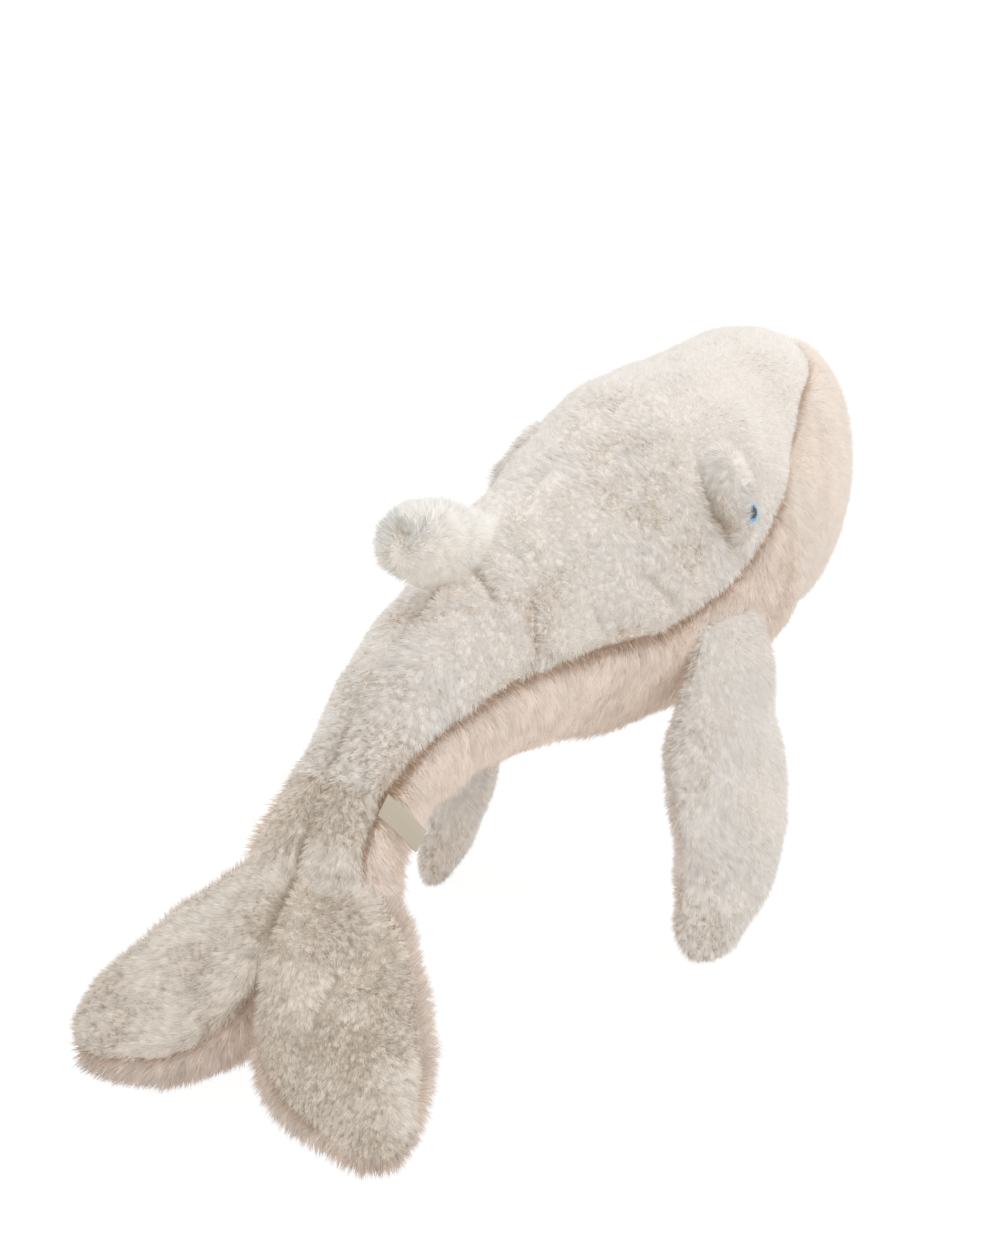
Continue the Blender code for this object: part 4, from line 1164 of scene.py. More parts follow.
@dataclass
class Trunk:
    """Head, trunk and tail: the back in two halves, and the underside with the face."""

    nose_roundness: float = 0.095
    pile_height: float = 4.2 * MM
    face_to: float = 0.170        # along the spine, where the face ends and the belly begins
    tail_from: float = 0.400      # and where the tail's pieces begin
    flukes_from: float = 0.515
    tail_joint: float = 0.4518
    bend: float = 0.034           # half the stretch over which the tail bends
    step: float = 3.0 * MM        # from one row of points to the next
    columns: int = 55             # of points, from the back to a seam
    under_columns: int = 109
    eye_rows: tuple[float, float, int] = (0.1945, 0.2395, 31)   # closer rows: from, to, how many
    cheek_share: float = 0.373    # of the spine, at the middle of the padded cheek
    cheek_turn: float = 0.372 * math.pi
    eye_behind: float = 0.0053    # from the cheek's middle back to the eye
    eye_seat: EyeSeat = EyeSeat()
    eye_flow: tuple[float, float] = (10 * MM, 7 * MM)   # ring of pile that runs off the eye
    # Along the spine, with the stretch over which it fades: where the face's lie and the head's
    # smoothness end, and where the tail's rougher pile begins
    face_lie: tuple[float, float] = (0.19, 0.06)
    smooth_to: tuple[float, float] = (0.235, 0.08)
    rough_from: tuple[float, float] = (0.38, 0.13)
    belly_grows: float = 0.10     # stretch over which the belly's pile grows long
    stuffing: tuple[tuple[float, float, int], ...] = ((1.4, 40, 11), (0.6, 16, 12))
    side_seam: Groove = Groove(3.0, 5.0, 0.9, 2.6)
    spine_seam: Groove = Groove(0.6, 4.5, 0.1, 3.0)
    rear_spine_seam: Groove = Groove(3.6, 4.5, 0.9, 3.0)   # what is added to it behind the fin
    rear_from: float = 0.36
    rear_over: float = 0.05
    end_inset: float = 14 * MM    # how far the tail's end is drawn in between the flukes
    end_from: float = 16 * MM
    end_over: float = 36 * MM

    def __post_init__(self) -> None:
        """Lay out the body's form and seam."""
        rows = [(0.0, along * BACK_LENGTH, up * BACK_HEIGHT,
                 deep * BODY_DEPTH / 2, wide * BODY_WIDTH / 2)
                for along, up, wide, deep in BODY_SHARES]
        self.form = Form(rows, (-1, 0, 0), start_cap=self.nose_roundness)
        seam = smooth_rows(SEAM_SHARES)
        self.seam_arcs = seam[:, 0] * self.form.length
        self.seam_turns = seam[:, 1] * math.pi
        self.seam_front = float(self.seam_arcs[0])

    def seam(self, arc: np.ndarray) -> np.ndarray:
        """How far round from the back the side seam lies."""
        return np.interp(arc, self.seam_arcs, self.seam_turns)

    def relief(self, arc: np.ndarray, turn: np.ndarray, points: np.ndarray
               ) -> tuple[np.ndarray, dict[str, np.ndarray]]:
        """What the cloth does beyond the plain form: swells, seams, cheeks and folds.

        Args:
            arc: Arc lengths of the grid.
            turn: Angles of the grid, from the back.
            points: The grid's points.

        Returns:
            Heights in metres, and the marks of the pile that go with them.
        """
        radius = sum(self.form.half_sizes(arc)) / 2
        side = np.abs(np.where(turn > math.pi, turn - 2 * math.pi, turn))
        height = swells(points, self.stuffing)
        parting = np.zeros_like(height)
        sewn = np.clip((arc - self.seam_front) / (8 * MM), 0, 1)
        rear = np.clip((arc - self.rear_from) / self.rear_over, 0, 1)
        self.side_seam.press(np.abs(side - self.seam(arc)) * radius, height, parting, sewn)
        self.spine_seam.press(side * radius, height, parting, sewn)
        self.rear_spine_seam.press(side * radius, height, parting, sewn * rear)
        behind = arc - self.cheek_share * self.form.length - self.eye_behind
        below = (side - self.cheek_turn) * radius
        on_left = (turn < 0) | (turn > math.pi)
        length, rim = self.eye_seat.press(behind, below, on_left, height, parting)
        for crease in FLANK_CREASES:
            crease.press(arc, side, radius, height, parting)
        return height, {"length": length, "upright": 0.55 * rim, "parting": np.clip(parting, 0, 1)}

    def sheet(self, start: float, end: float, panel: str) -> Sheet:
        """One panel's sheet.

        Args:
            start: Where it starts along the spine.
            end: Where it ends.
            panel: right, left or underside.

        Returns:
            The sheet, in the drawing.
        """
        under = panel == "underside"
        start = start if under else max(start, self.seam_front)
        if start == 0:
            nose = cap_rows(self.nose_roundness, 36)[:-1]
            nose = nose[nose < self.seam_front - 0.5 * MM]
            rest = np.arange(self.seam_front, end, self.step)
            arcs = np.concatenate([nose, [self.seam_front - 0.3 * MM], rest, [end]])
        else:
            arcs = np.linspace(start, end, max(2, round((end - start) / self.step)) + 1)
        first, last = self.eye_rows[:2]
        if start < first and not under:
            coarse = arcs[(arcs < first - 0.5 * MM) | (arcs > last + 0.5 * MM)]
            arcs = np.sort(np.concatenate([coarse, np.linspace(*self.eye_rows)]))
        seam = self.seam(arcs)
        if under:
            seam = np.where(arcs < self.seam_front - 0.1 * MM, 0.0, seam)
            shares = np.linspace(0, 1, self.under_columns)
            turn = seam[:, None] + (2 * math.pi - 2 * seam[:, None]) * shares
        else:
            sign = 1 if panel == "right" else -1
            turn = seam[:, None] * np.linspace(0, 1, self.columns) * sign
        grid = np.broadcast_to(arcs[:, None], turn.shape)
        drawn_in = np.clip((grid - self.form.length + self.end_from) / self.end_over, 0, 1)
        inset = self.pile_height + self.end_inset * drawn_in
        points = self.form.points(grid, turn, inset)
        inside = np.broadcast_to(self.form.centre(np.maximum(grid, 0.03)), points.shape)
        flow = unit(np.gradient(points, axis=0))
        height, marks = self.relief(grid, turn, points)
        if under:
            # It lies back on the face, and on the belly it also falls from the middle to the seams
            down = unit(np.gradient(points, axis=1)) * np.sign(math.pi - turn + 1e-6)[..., None]
            face = np.clip((self.face_lie[0] - grid) / self.face_lie[1], 0, 1)
            flow = unit(flow * (0.5 + 0.6 * face[..., None]) + down * (1 - 0.6 * face[..., None]))
            if start >= self.face_to:
                grown = np.clip(0.6 + (grid - self.face_to) / self.belly_grows, 0, 1)
                marks["length"] = marks["length"] * grown
            marks["mottle"] = 0.7 * (1 - face)
        else:
            # It is smooth on the head and mottled behind, and flows round the eye
            smooth = np.clip((self.smooth_to[0] - grid) / self.smooth_to[1], 0, 1)
            rough = np.clip((grid - self.rough_from[0]) / self.rough_from[1], 0, 1)
            marks["mottle"] = 1.0 - 1.05 * smooth + 0.4 * rough
            marks["length"] = marks["length"] * (1 - 0.15 * smooth)
            eye_arc = self.cheek_share * self.form.length + self.eye_behind
            eye = self.form.points(eye_arc, self.cheek_turn * sign)
            gap = np.linalg.norm(eye - points, axis=-1, keepdims=True)
            near = np.exp(-((gap - self.eye_flow[0]) / self.eye_flow[1]) ** 2)
            ahead = (grid < eye_arc)[..., None] & (panel == "right")
            flow = unit(flow * (1 - near) + unit(eye - points) * near * np.where(ahead, -1, 1))
        return Sheet(points, inside, flow, marks).pushed(height)

    def build(self, tailor: Tailor) -> None:
        """Sew the trunk's and the tail's panels.

        Args:
            tailor: Who sews them.
        """
        on_torso = Hold("torso")
        start = world_point(self.form.centre(self.tail_joint - self.bend))
        end = world_point(self.form.centre(self.tail_joint + self.bend))
        on_tail = Hold("torso", "tail", start, end)
        torso_under = ("torso_underside", "torso_stuffing", "cheek_right", "cheek_left")
        for panel in ("right", "left"):
            for part, first, last, hold in (("torso", 0.0, self.tail_from, on_torso),
                                            ("tail", self.tail_from, self.flukes_from, on_tail)):
                name, sheet = f"{part}_back_{panel}", self.sheet(first, last, panel)
                tailor.sew(name, sheet, Pile(), CREAM_FUR, hold, [name])
        for name, first, last, pile, finish, hold, nodes, parts in (
                ("torso_face", 0.0, self.face_to, FACE_PILE, FACE_FUR, on_torso, torso_under, 1),
                ("torso_underside", self.face_to, self.tail_from, LONG_PILE, BEIGE_FUR, on_torso,
                 torso_under, 2),
                ("tail_underside", self.tail_from, self.flukes_from, LONG_PILE, BEIGE_FUR, on_tail,
                 ("tail_underside", "tail_stuffing"), 1)):
            sheet = self.sheet(first, last, "underside")
            tailor.sew(name, sheet, pile, finish, hold, nodes, pile_parts=parts)


@dataclass
class Flukes:
    """Both flukes: a cream upper panel like a pillow, and a beige one that borders it."""

    trunk: Trunk
    span: float = 0.238
    reach: float = 0.133
    thickness: float = 0.059
    pitch: float = math.radians(49.5)
    tip_roundness: float = 0.016
    pile_height: float = 4.2 * MM
    fringe: float = 7.0 * MM      # how much further in the cloth lies at the edge, under the fringe
    front_border: float = math.radians(14)   # how far up from the edge the upper panel's seam lies
    rear_border: float = math.radians(30)
    bend_from: float = 0.530
    bend_over: float = 0.062
    tail_runs_in: float = 18 * MM # how far the tail's end runs in between the flukes
    rim_turn: float = 0.5         # how far round from the edge the fringe reaches
    rim_over: float = 24 * MM     # and how far in from a tip
    columns: tuple[int, int] = (50, 72)   # of points, of the upper and the under panel
    stuffing: tuple[tuple[float, float, int], ...] = ((1.3, 32, 21), (0.6, 13, 22))
    upper_seams: tuple[Groove, Groove] = (Groove(4.4, 5.5, 0.2, 3.0), Groove(4.0, 5.0, 0.8, 2.4))
    under_seams: tuple[Groove, Groove] = (Groove(2.5, 5.5, 0.95, 7.0), Groove(1.5, 5.0, 0.0, 2.4))
    fold: Groove = Groove(2.6, 5.0, 0.6, 2.5)
    # Folds that run out from the tail: how far to the side, and from where to where
    folds: tuple[tuple[float, float, float], ...] = ((-0.045, 0.035, 0.085), (0.030, 0.0, 0.035))

    def sheet(self, form: Form, arcs: np.ndarray, spot: np.ndarray, upper: bool) -> Sheet:
        """One panel's sheet, over both flukes.

        Args:
            form: The flukes' plain form.
            arcs: Its rows.
            spot: Where the pile spreads from.
            upper: True for the upper panel.

        Returns:
            The sheet, in the drawing.
        """
        low, high = ((self.front_border, math.pi - self.rear_border) if upper
                     else (math.pi - self.rear_border, 2 * math.pi + self.front_border))
        columns = self.columns[0] if upper else self.columns[1]
        grid, turns = np.broadcast_arrays(arcs[:, None], np.linspace(low, high, columns)[None, :])
        edge = np.exp(-(np.sin(turns) / self.rim_turn) ** 2)
        tip = 1 - np.clip(np.minimum(grid, form.length - grid) / self.rim_over, 0, 1)
        rim = np.clip(edge + tip, 0, 1) * (0.0 if upper else 1.0)
        points = form.points(grid, turns, self.pile_height + self.fringe * rim)
        inside = np.broadcast_to(form.centre(np.clip(grid, 0.03, form.length - 0.03)), points.shape)
        flow = unit(unit(points - spot) + np.sign(points[..., :1]) * np.array((0.25, 0, 0)))
        outwards = 0.8 * rim[..., None]
        flow = unit(flow * (1 - outwards) + unit(points - inside) * outwards)
        height = swells(points, self.stuffing)
        parting = np.zeros_like(height)
        edge_seam, middle_seam = self.upper_seams if upper else self.under_seams
        gap = np.minimum(turns - low, high - turns) * form.half_sizes(grid)[0] * 0.8
        edge_seam.press(gap, height, parting)
        middle_seam.press(points[..., 0], height, parting)
        if upper:
            run = np.linalg.norm((points - spot)[..., 1:], axis=-1)
            for aside, first, last in self.folds:
                past = np.abs(run - (first + last) / 2) - (last - first) / 2
                gap = np.hypot(points[..., 0] - aside, np.maximum(0, past))
                self.fold.press(gap, height, parting)
        marks = {"parting": np.clip(parting, 0, 1), "upright": 0.9 * rim, "length": 1 + 0.25 * rim,
                 "mottle": np.full_like(grid, 1.35 if upper else 0.7)}
        return Sheet(points, inside, flow, marks).pushed(height)

    def build(self, tailor: Tailor) -> None:
        """Sew the flukes and the end of the tail that runs into them.

        Args:
            tailor: Who sews them.
        """
        body = self.trunk.form
        root = body.centre(body.length)
        away = np.array((0, math.cos(self.pitch), -math.sin(self.pitch)))
        up = np.array((0, math.sin(self.pitch), math.cos(self.pitch)))
        rows = []
        for out, front, rear, thick in FLUKE_SHARES:
            aside = np.array((-out * self.span / 2, 0, 0))
            centre = root + away * (front + rear) / 2 * self.reach + aside
            rows.append((*centre, (rear - front) / 2 * self.reach, thick * self.thickness / 2))
        left = [(-row[0], *row[1:]) for row in rows[1:]]
        form = Form(rows[::-1] + left, up, -away, self.tip_roundness, self.tip_roundness)
        start = body.centre(self.bend_from)
        end = start + unit(root + away * 0.02 - start) * self.bend_over
        hold = Hold("tail", "flukes", world_point(start), world_point(end))
        ends = cap_rows(self.tip_roundness, 8)
        arcs = np.concatenate([ends, np.linspace(ends[-1], form.length - ends[-1], 90)[1:-1],
                               form.length - ends[::-1]])
        halves = {Side.RIGHT: slice(0, len(arcs) // 2 + 1), Side.LEFT: slice(len(arcs) // 2, None)}
        for word, pile, finish, slot in (("upper", Pile(), GREY_FUR, Slot.CREAM),
                                         ("under", FRINGE_PILE, BEIGE_FUR, Slot.BEIGE)):
            sheet = self.sheet(form, arcs, root + away * 0.01, word == "upper")
            for side, half in halves.items():
                name = f"fluke_{side.value}_{word}"
                nodes = [name] + (["fluke_beads"] if word == "under" else [])
                tailor.sew(name, sheet.part(half), pile, finish, hold, nodes)
        end = body.length + self.tail_runs_in
        for panel, pile, finish, slot in (("right", Pile(), GREY_FUR, Slot.CREAM),
                                          ("left", Pile(), GREY_FUR, Slot.CREAM),
                                          ("underside", LONG_PILE, BEIGE_FUR, Slot.BEIGE)):
            sheet = self.trunk.sheet(self.trunk.flukes_from, end, panel)
            tailor.sew(f"tail_end_{panel}", sheet, pile, finish, hold)


@dataclass
class Flipper:
    """One flipper: an outer and an inner panel, sewn together round the edge."""

    trunk: Trunk
    side: Side
    length: float = 0.197
    width: float = 0.097
    thickness: float = 0.034
    root_thickness: float = 0.014
    root_share: float = 0.435
    turn_share: float = 0.567
    stand_off: float = 0.0030
    splay: float = math.radians(8)
    tip_roundness: float = 0.040
    pile_height: float = 3.6 * MM
    bend: tuple[float, float] = (2 * MM, 32 * MM)   # below its hinge, where it bends
    turns_whole_from: float = 0.047   # from its root, where the bend has ended
    columns: int = 41             # of points
    stuffing: tuple[tuple[float, float, int], ...] = ((1.1, 30, 31), (0.6, 13, 32))
    edge_seam: Groove = Groove(1.6, 4.0, 0.35, 2.5)
    slit_depth: float = 2.6 * MM  # of the gathered line down the inner panel
    slit_width: float = 0.10      # in radians
    tip_mottle: tuple[float, float] = (0.62, 0.3)   # from where, over how much of its length

    def build(self, tailor: Tailor) -> None:
        """Sew both panels.

        Args:
            tailor: Who sews them.
        """
        body = self.trunk.form
        arc, turn = self.root_share * body.length, self.turn_share * math.pi
        reach = self.width / 4
        hinge = unit(body.points(arc + reach, turn) - body.points(arc - reach, turn))
        pivot = body.points(arc, turn) + body.normal(arc, turn) * self.stand_off
        down = np.array((0.0, 0.0, -1.0))
        down = unit(down - hinge * (down @ hinge))
        down = np.array(Matrix.Rotation(self.splay, 3, Vector(hinge)) @ Vector(down))
        out = unit(np.cross(hinge, down))
        radius = self.root_thickness / 2
        rows = [(*(pivot - down * radius), FLIPPER_SHARES[0][2] * self.width / 2, radius)]
        for along, back, wide, thick in FLIPPER_SHARES:
            centre = pivot + down * along * self.length + hinge * back * self.width
            rows.append((*centre, wide * self.width / 2, thick * self.thickness / 2))
        form = Form(rows, out, hinge, start_cap=radius, end_cap=self.tip_roundness)
        arcs = limb_rows(form.length, radius, self.tip_roundness, 48, 12)
        over = np.array((self.side.sign, 1, 1))
        start, end = (world_point((pivot + down * below) * over) for below in self.bend)
        hold = Hold("torso", f"flipper_{self.side.value}", start, end)
        for name, low in (("outer", 0.0), ("inner", math.pi)):
            high = low + math.pi
            grid, turns, points, inside = form.panel(
                arcs, np.linspace(low, high, self.columns), self.pile_height, (0.01, 0.03))
            rearward = np.cos(turns)
            low_end = (grid / form.length - self.tip_mottle[0]) / self.tip_mottle[1]
            low_end = np.clip(low_end, 0, 1)
            height = swells(points, self.stuffing)
            parting = np.zeros_like(height)
            gap = np.minimum(turns - low, high - turns) * self.width / 3
            self.edge_seam.press(gap, height, parting)
            if name == "inner":
                slit = np.exp(-((turns - 1.5 * math.pi) / self.slit_width) ** 2)
                slit = slit * np.clip(grid / 0.06, 0, 1)
                height -= self.slit_depth * slit
                # The pile parts along the gathered line, which darkens it as painted shade
                parting = np.maximum(parting, 0.5 * slit)
            marks = {"mottle": np.clip(0.35 + 0.6 * rearward + 0.7 * low_end, 0, 1.5),
                     "length": 1 - 0.15 * np.clip(-rearward, 0, 1), "parting": parting}
            flow = unit(unit(np.gradient(points, axis=0)) * 0.75 + hinge * 0.65)
            sheet = Sheet(points, inside, flow, marks).pushed(height)
            if self.side is Side.LEFT:
                sheet = sheet.mirrored()
            nodes = [f"flipper_{self.side.value}_{name}"]
            if name == "outer":
                nodes.append(f"flipper_{self.side.value}_stuffing")
            free_row = int(np.searchsorted(arcs, self.turns_whole_from))
            tailor.sew(f"flipper_{self.side.value}_{name}", sheet, Pile(swirl=0.6), CREAM_FUR,
                       hold, nodes, free_row=free_row)


@dataclass
class Fin:
    """The dorsal fin: a stubby knob of pale fur."""

    trunk: Trunk
    height: float = 0.055
    length: float = 0.066
    width: float = 0.038
    root_share: float = 0.670
    root_width: float = 0.024
    tip_roundness: float = 0.022
    pile_height: float = 5.0 * MM
    columns: int = 31             # of points
    stuffing: tuple[tuple[float, float, int], ...] = ((0.8, 22, 41),)

    def build(self, tailor: Tailor) -> None:
        """Sew both halves.

        Args:
            tailor: Who sews them.
        """
        body = self.trunk.form
        arc, reach = self.root_share * body.length, self.length / 2
        hinge = unit(body.points(arc + reach, 0.0) - body.points(arc - reach, 0.0))
        pivot = body.points(arc, 0.0)
        up = unit(np.cross(hinge, body.q_axis))
        radius = self.root_width / 2
        rows = [(*(pivot - up * radius), FIN_SHARES[0][2] * self.length / 2, radius)]
        for rise, back, long, wide in FIN_SHARES:
            centre = pivot + up * rise * self.height + hinge * back * self.length
            rows.append((*centre, long * self.length / 2, wide * self.width / 2))
        form = Form(rows, body.q_axis, hinge, start_cap=radius, end_cap=self.tip_roundness)
        arcs = limb_rows(form.length, radius, self.tip_roundness, 18, 10)
        for panel, low in (("right", 0.0), ("left", math.pi)):
            turns = np.linspace(low, low + math.pi, self.columns)
            grid, _, points, inside = form.panel(arcs, turns, self.pile_height, (0.01, 0.02))
            flow = unit(np.gradient(points, axis=0))
            top = np.clip(grid / form.length * 2 - 1, 0, 1)
            marks = {"upright": 0.75 * top, "mottle": 0.35 + 0.55 * top ** 4}
            sheet = Sheet(points, inside, flow, marks).pushed(swells(points, self.stuffing))
            nodes = [f"fin_{panel}"] + (["fin_stuffing"] if panel == "right" else [])
            tailor.sew(f"fin_{panel}", sheet, Pile(length=7.5, lean=40, tuft=5.0),
                       PALE_FUR, Hold("fin"), nodes)


@dataclass
class Eye:
    """A safety eye: a polished dome on its stem."""

    trunk: Trunk
    side: Side
    diameter: float = 0.020
    rise: float = 0.0078
    stem_diameter: float = 0.005
    stem_length: float = 0.034
    tilt: float = math.radians(3)
    turn: float = math.radians(180)
    cheek: tuple[float, float, float] = (0.050, 0.054, 0.004)   # along, round and out
    seat_depth: float = 0.0012

    def place(self) -> Matrix:
        """Where the eye sits.

        Returns:
            Its seat, with the z axis the way it looks.
        """
        body = self.trunk.form
        arc = self.trunk.cheek_share * body.length
        angle = self.trunk.cheek_turn
        centre = Vector(body.points(arc, angle))
        out = Vector(body.normal(arc, angle))
        ahead = -Vector(body.tangent(arc))
        ahead = (ahead - out * ahead.dot(out)).normalized()
        below = (Vector(body.points(arc, angle + math.radians(1))) - centre).normalized()
        turn = Matrix((ahead, below, out)).transposed()
        half = Vector((self.cheek[0] / 2, self.cheek[1] / 2, self.cheek[2]))
        aside = math.sin(self.tilt)
        look = Vector((aside * math.cos(self.turn), aside * math.sin(self.turn),
                       math.cos(self.tilt)))
        stretched = Vector(size * part for size, part in zip(half, look))
        seat = Vector(size * part / stretched.length for size, part in zip(half, stretched))
        seat = centre + turn @ seat
        look = turn @ look
        seat -= look * self.seat_depth
        if self.side is Side.LEFT:
            seat.x, look.x = -seat.x, -look.x
        spin = Vector((0, 0, 1)).rotation_difference(SET_DOWN.to_3x3() @ look).to_matrix().to_4x4()
        return Matrix.Translation(SET_DOWN @ seat) @ spin

    def build(self, material: bpy.types.Material) -> None:
        """Turn the dome and its stem, and set them in the cheek.

        Args:
            material: The eye's finish.
        """
        radius = self.diameter / 2
        sphere = (radius ** 2 + self.rise ** 2) / (2 * self.rise)
        bpy.ops.object.select_all(action="DESELECT")
        bpy.ops.mesh.primitive_uv_sphere_add(
            segments=48, ring_count=48, radius=sphere, location=(0, 0, self.rise - sphere))
        eye = bpy.context.object
        bpy.ops.object.transform_apply(location=True, rotation=True, scale=True)
        reshape(bpy.ops.mesh.bisect, plane_co=(0, 0, 0), plane_no=(0, 0, 1), use_fill=True,
                clear_inner=True)
        bpy.ops.object.shade_smooth()
        bpy.ops.mesh.primitive_cylinder_add(
            vertices=24, radius=self.stem_diameter / 2, depth=self.stem_length,
            location=(0, 0, -self.stem_length / 2 + 0.1 * MM))
        stem = bpy.context.object
        bpy.ops.object.transform_apply(location=True, rotation=True, scale=True)
        eye.select_set(True)
        stem.select_set(True)
        bpy.context.view_layer.objects.active = eye
        bpy.ops.object.join()
        eye.name = eye.data.name = f"eye_{self.side.value}_dome"
        ring = [math.hypot(vertex.co.x, vertex.co.y) / radius for vertex in eye.data.vertices]
        note(eye.data, "ring", np.minimum(1.0, ring))
        eye.data.transform(self.place())
        dress(eye, material)
        # The pile round the eye is pale in the light that spreads in it, and takes no blue from it
        eye.visible_diffuse = False
        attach(eye, "torso")
        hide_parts(f"eye_{self.side.value}")


@dataclass
class Tag:
    """The blank side tag: a ribbon folded on itself and sewn into the tail's right seam."""

    trunk: Trunk
    length: float = 0.0265        # straight out from the seam
    width: float = 0.013
    slant: float = 0.35           # how far its end lies tailwards, as a share of its length
    thickness: float = 0.0016
    ribbon: float = 0.0005
    share: float = 0.910
    droop: float = math.radians(72)
    sag: float = 0.0018
    curl: float = 0.0008          # how far its middle stands above its edges
    rows: int = 22                # of points, on either half
    fold_rows: int = 10
    columns: int = 9

    def build(self, material: bpy.types.Material) -> None:
        """Fold the ribbon and sew it in.

        Args:
            material: The ribbon's finish.
        """
        body = self.trunk.form
        arc = self.share * body.length
        reach = self.width / 2
        angle = float(self.trunk.seam(arc))
        point = body.points(arc, angle)
        hinge = unit(body.points(arc + reach, self.trunk.seam(arc + reach))
                     - body.points(arc - reach, self.trunk.seam(arc - reach)))
        out = body.normal(arc, angle)
        out = unit(out - hinge * (out @ hinge))
        belly = body.points(arc, angle + math.radians(1)) - point
        if belly @ np.cross(hinge, out) > 0:
            hinge = -hinge
        out = np.array(Matrix.Rotation(-self.droop, 3, Vector(hinge)) @ Vector(out))
        flat = np.cross(hinge, out)
        radius = (self.thickness - self.ribbon) / 2
        straight = self.length - radius
        line = [(along, radius) for along in np.linspace(0, straight, self.rows)]
        line += [(straight + radius * math.cos(turn), radius * math.sin(turn))
                 for turn in np.linspace(math.pi / 2, -math.pi / 2, self.fold_rows)[1:-1]]
        line += [(along, -radius) for along in np.linspace(straight, 0, self.rows)]
        path = np.array(line)
        run = np.concatenate(([0.0], np.cumsum(np.linalg.norm(np.diff(path, axis=0), axis=1))))
        sag = self.sag * np.sin(path[:, 0] / self.length * math.pi * 0.8)
        places = np.linspace(-self.width / 2, self.width / 2, self.columns)
        grid = (point + out * path[:, 0][:, None, None] + flat * (path[:, 1] + sag)[:, None, None]
                + hinge * (places[None, :, None] + self.slant * path[:, 0][:, None, None])
                + flat * (self.curl * np.cos(places / self.width * math.pi))[None, :, None])
        turn, shift = SET_DOWN_PARTS
        mesh = bpy.data.meshes.new("side_tag_ribbon")
        faces = quads(*grid.shape[:2]).tolist()
        mesh.from_pydata((grid.reshape(-1, 3) @ turn.T + shift).tolist(), [], faces)
        note(mesh, "run", np.repeat(run, self.columns))
        tag = put_in_scene("side_tag_ribbon", mesh)
        choose(tag)
        thicken(tag, self.ribbon, 0)
        reshape(bpy.ops.mesh.normals_make_consistent, inside=False)
        bpy.ops.object.shade_smooth_by_angle(angle=math.radians(40))
        dress(tag, material)
        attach(tag, "side_tag")
        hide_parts("side_tag")


# ---------------------------------------------------------------- floor, light and camera


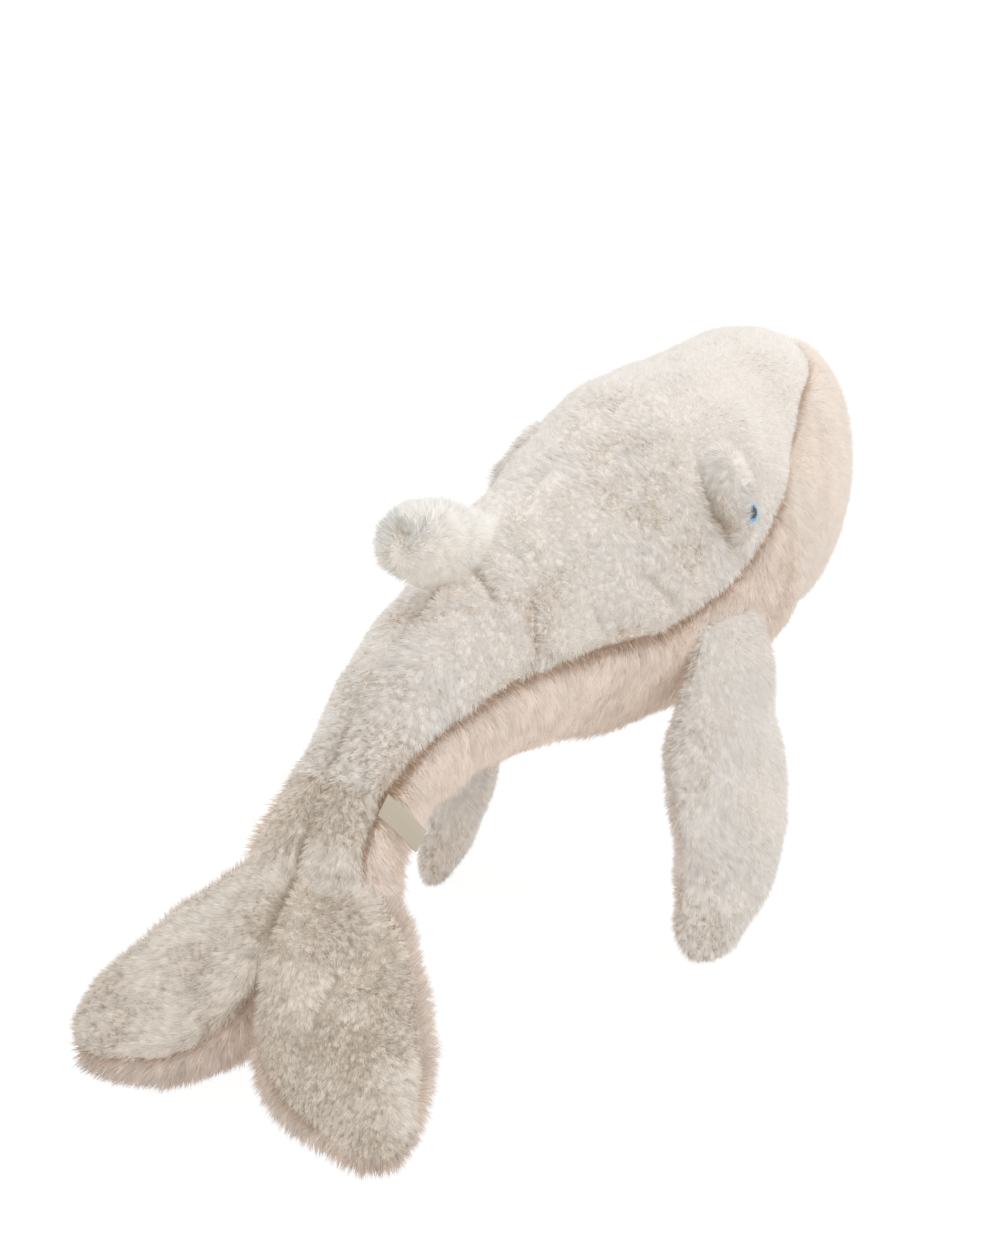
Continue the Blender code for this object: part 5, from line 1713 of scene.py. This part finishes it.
@dataclass
class Stage:
    """A pale floor, soft light and the camera at the photograph's angle."""

    floor_size: float = 60.0
    lens: float = 63.36
    camera_place: tuple[float, float, float] = (-0.731328, 1.362013, 0.571074)
    ahead: tuple[float, float, float] = (0.56501545, -0.77767705, -0.27563736)
    upward: tuple[float, float, float] = (0.16201557, -0.22299531, 0.9612617)
    rightward: tuple[float, float, float] = (-0.80901699, -0.58778525, 0.0)
    glow_share: float = 0.85      # of the floor as it is seen. The rest is lit paper in shadow
    glow: float = 1.08
    key_watts: float = 4.0
    key_size: float = 1.0
    key_from: tuple[float, float, float] = (0.8, 1.35, 0.7)   # to the right, up, beyond the whale
    key_tint: tuple[float, float, float] = (1.0, 0.985, 0.965)
    world_level: float = 0.93
    sensor: float = 36.0          # the picture's height on it, in mm
    sees_to: float = 200.0

    def build(self) -> None:
        """Lay the floor, hang the lights and set up the camera."""
        bpy.ops.object.select_all(action="DESELECT")
        bpy.ops.mesh.primitive_plane_add(size=self.floor_size, location=(0, 0, 0))
        floor = bpy.context.object
        floor.name = "floor"
        # White matt paper: no texture that shows, and nearly no shadow but the one under the whale
        material, tree = blank_material("white_paper_sweep")
        share = add_node(tree, "Math", {"operation": "MULTIPLY"},
                         {0: self.seen(tree), 1: self.glow_share})
        paper = add_node(tree, "BsdfDiffuse", None, {"Color": linear("F4F3F1")})
        glow = add_node(tree, "Emission", None, {"Color": (1, 1, 1, 1), "Strength": self.glow})
        shown = add_node(tree, "MixShader", None, {0: share, 1: paper, 2: glow})
        add_node(tree, "OutputMaterial", None, {"Surface": shown})
        dress(floor, material)

        world = bpy.data.worlds.new("soft_room")
        bpy.context.scene.world = world
        world.use_nodes = True
        tree = world.node_tree
        tree.nodes.clear()
        room = add_node(tree, "Background", None, {
            "Color": linear("FDFBF8"), "Strength": self.world_level})
        white = add_node(tree, "Background", None, {"Color": (1, 1, 1, 1), "Strength": 1.0})
        shown = add_node(tree, "MixShader", None, {0: self.seen(tree), 1: room, 2: white})
        add_node(tree, "OutputWorld", None, {"Surface": shown})

        ahead, upward, rightward = map(Vector, (self.ahead, self.upward, self.rightward))
        target = Vector((0, 0.0, 0.2))
        aside, above, beyond = self.key_from
        place = target + rightward * aside + Vector((0, 0, above)) + ahead * beyond
        self.lamp("key_softbox", place, target)

        turn = SET_DOWN.to_3x3()
        axes = Matrix((turn @ rightward, turn @ upward, turn @ -ahead)).transposed().to_4x4()
        data = bpy.data.cameras.new("camera")
        data.sensor_fit = "VERTICAL"
        data.sensor_height = self.sensor
        data.lens = self.lens
        data.clip_end = self.sees_to
        camera = put_in_scene("camera", data)
        camera.matrix_world = Matrix.Translation(SET_DOWN @ Vector(self.camera_place)) @ axes
        bpy.context.scene.camera = camera
        bpy.context.scene.view_settings.view_transform = "Standard"

    @staticmethod
    def seen(tree: bpy.types.NodeTree) -> bpy.types.NodeSocket:
        """What is seen, and what only lights the whale.

        Args:
            tree: The node tree.

        Returns:
            A socket: 1 for a ray from the camera, or by way of gloss or glass, and 0 for one that
            lights a matt surface.
        """
        rays = add_node(tree, "LightPath").node.outputs
        seen = rays["Is Camera Ray"]
        for operation, ray in (
                ("MAXIMUM", "Glossy"), ("MAXIMUM", "Transmission"), ("SUBTRACT", "Diffuse")):
            seen = add_node(tree, "Math", {"operation": operation, "use_clamp": True},
                            {0: seen, 1: rays[f"Is {ray} Ray"]})
        return seen

    def lamp(self, name: str, place: Vector, target: Vector) -> None:
        """Hang the square soft lamp.

        Args:
            name: Its name.
            place: Where it hangs.
            target: What it faces.
        """
        data = bpy.data.lights.new(name, "AREA")
        data.shape = "SQUARE"
        data.size = self.key_size
        data.energy = self.key_watts
        data.color = self.key_tint
        facing = (target - place).to_track_quat("-Z", "Y").to_matrix().to_4x4()
        put_in_scene(name, data).matrix_world = Matrix.Translation(place) @ facing


def main() -> None:
    """Dress the whale."""
    logging.basicConfig(level=logging.INFO, format="%(name)s: %(message)s")
    Stage().build()
    tailor = Tailor()
    trunk = Trunk()
    trunk.build(tailor)
    Flukes(trunk).build(tailor)
    for side in Side:
        Flipper(trunk, side).build(tailor)
    Fin(trunk).build(tailor)
    acrylic = EyeFinish().material()
    for side in Side:
        Eye(trunk, side).build(acrylic)
    Tag(trunk).build(RibbonFinish().material())
    nylon = NylonFinish().material()
    for node in ("eye_washer_right", "eye_washer_left"):
        dress(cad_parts[node], nylon)
    LOG.info("triangles of pile in all: %d", tailor.triangles)


if __name__ == "__main__":
    main()
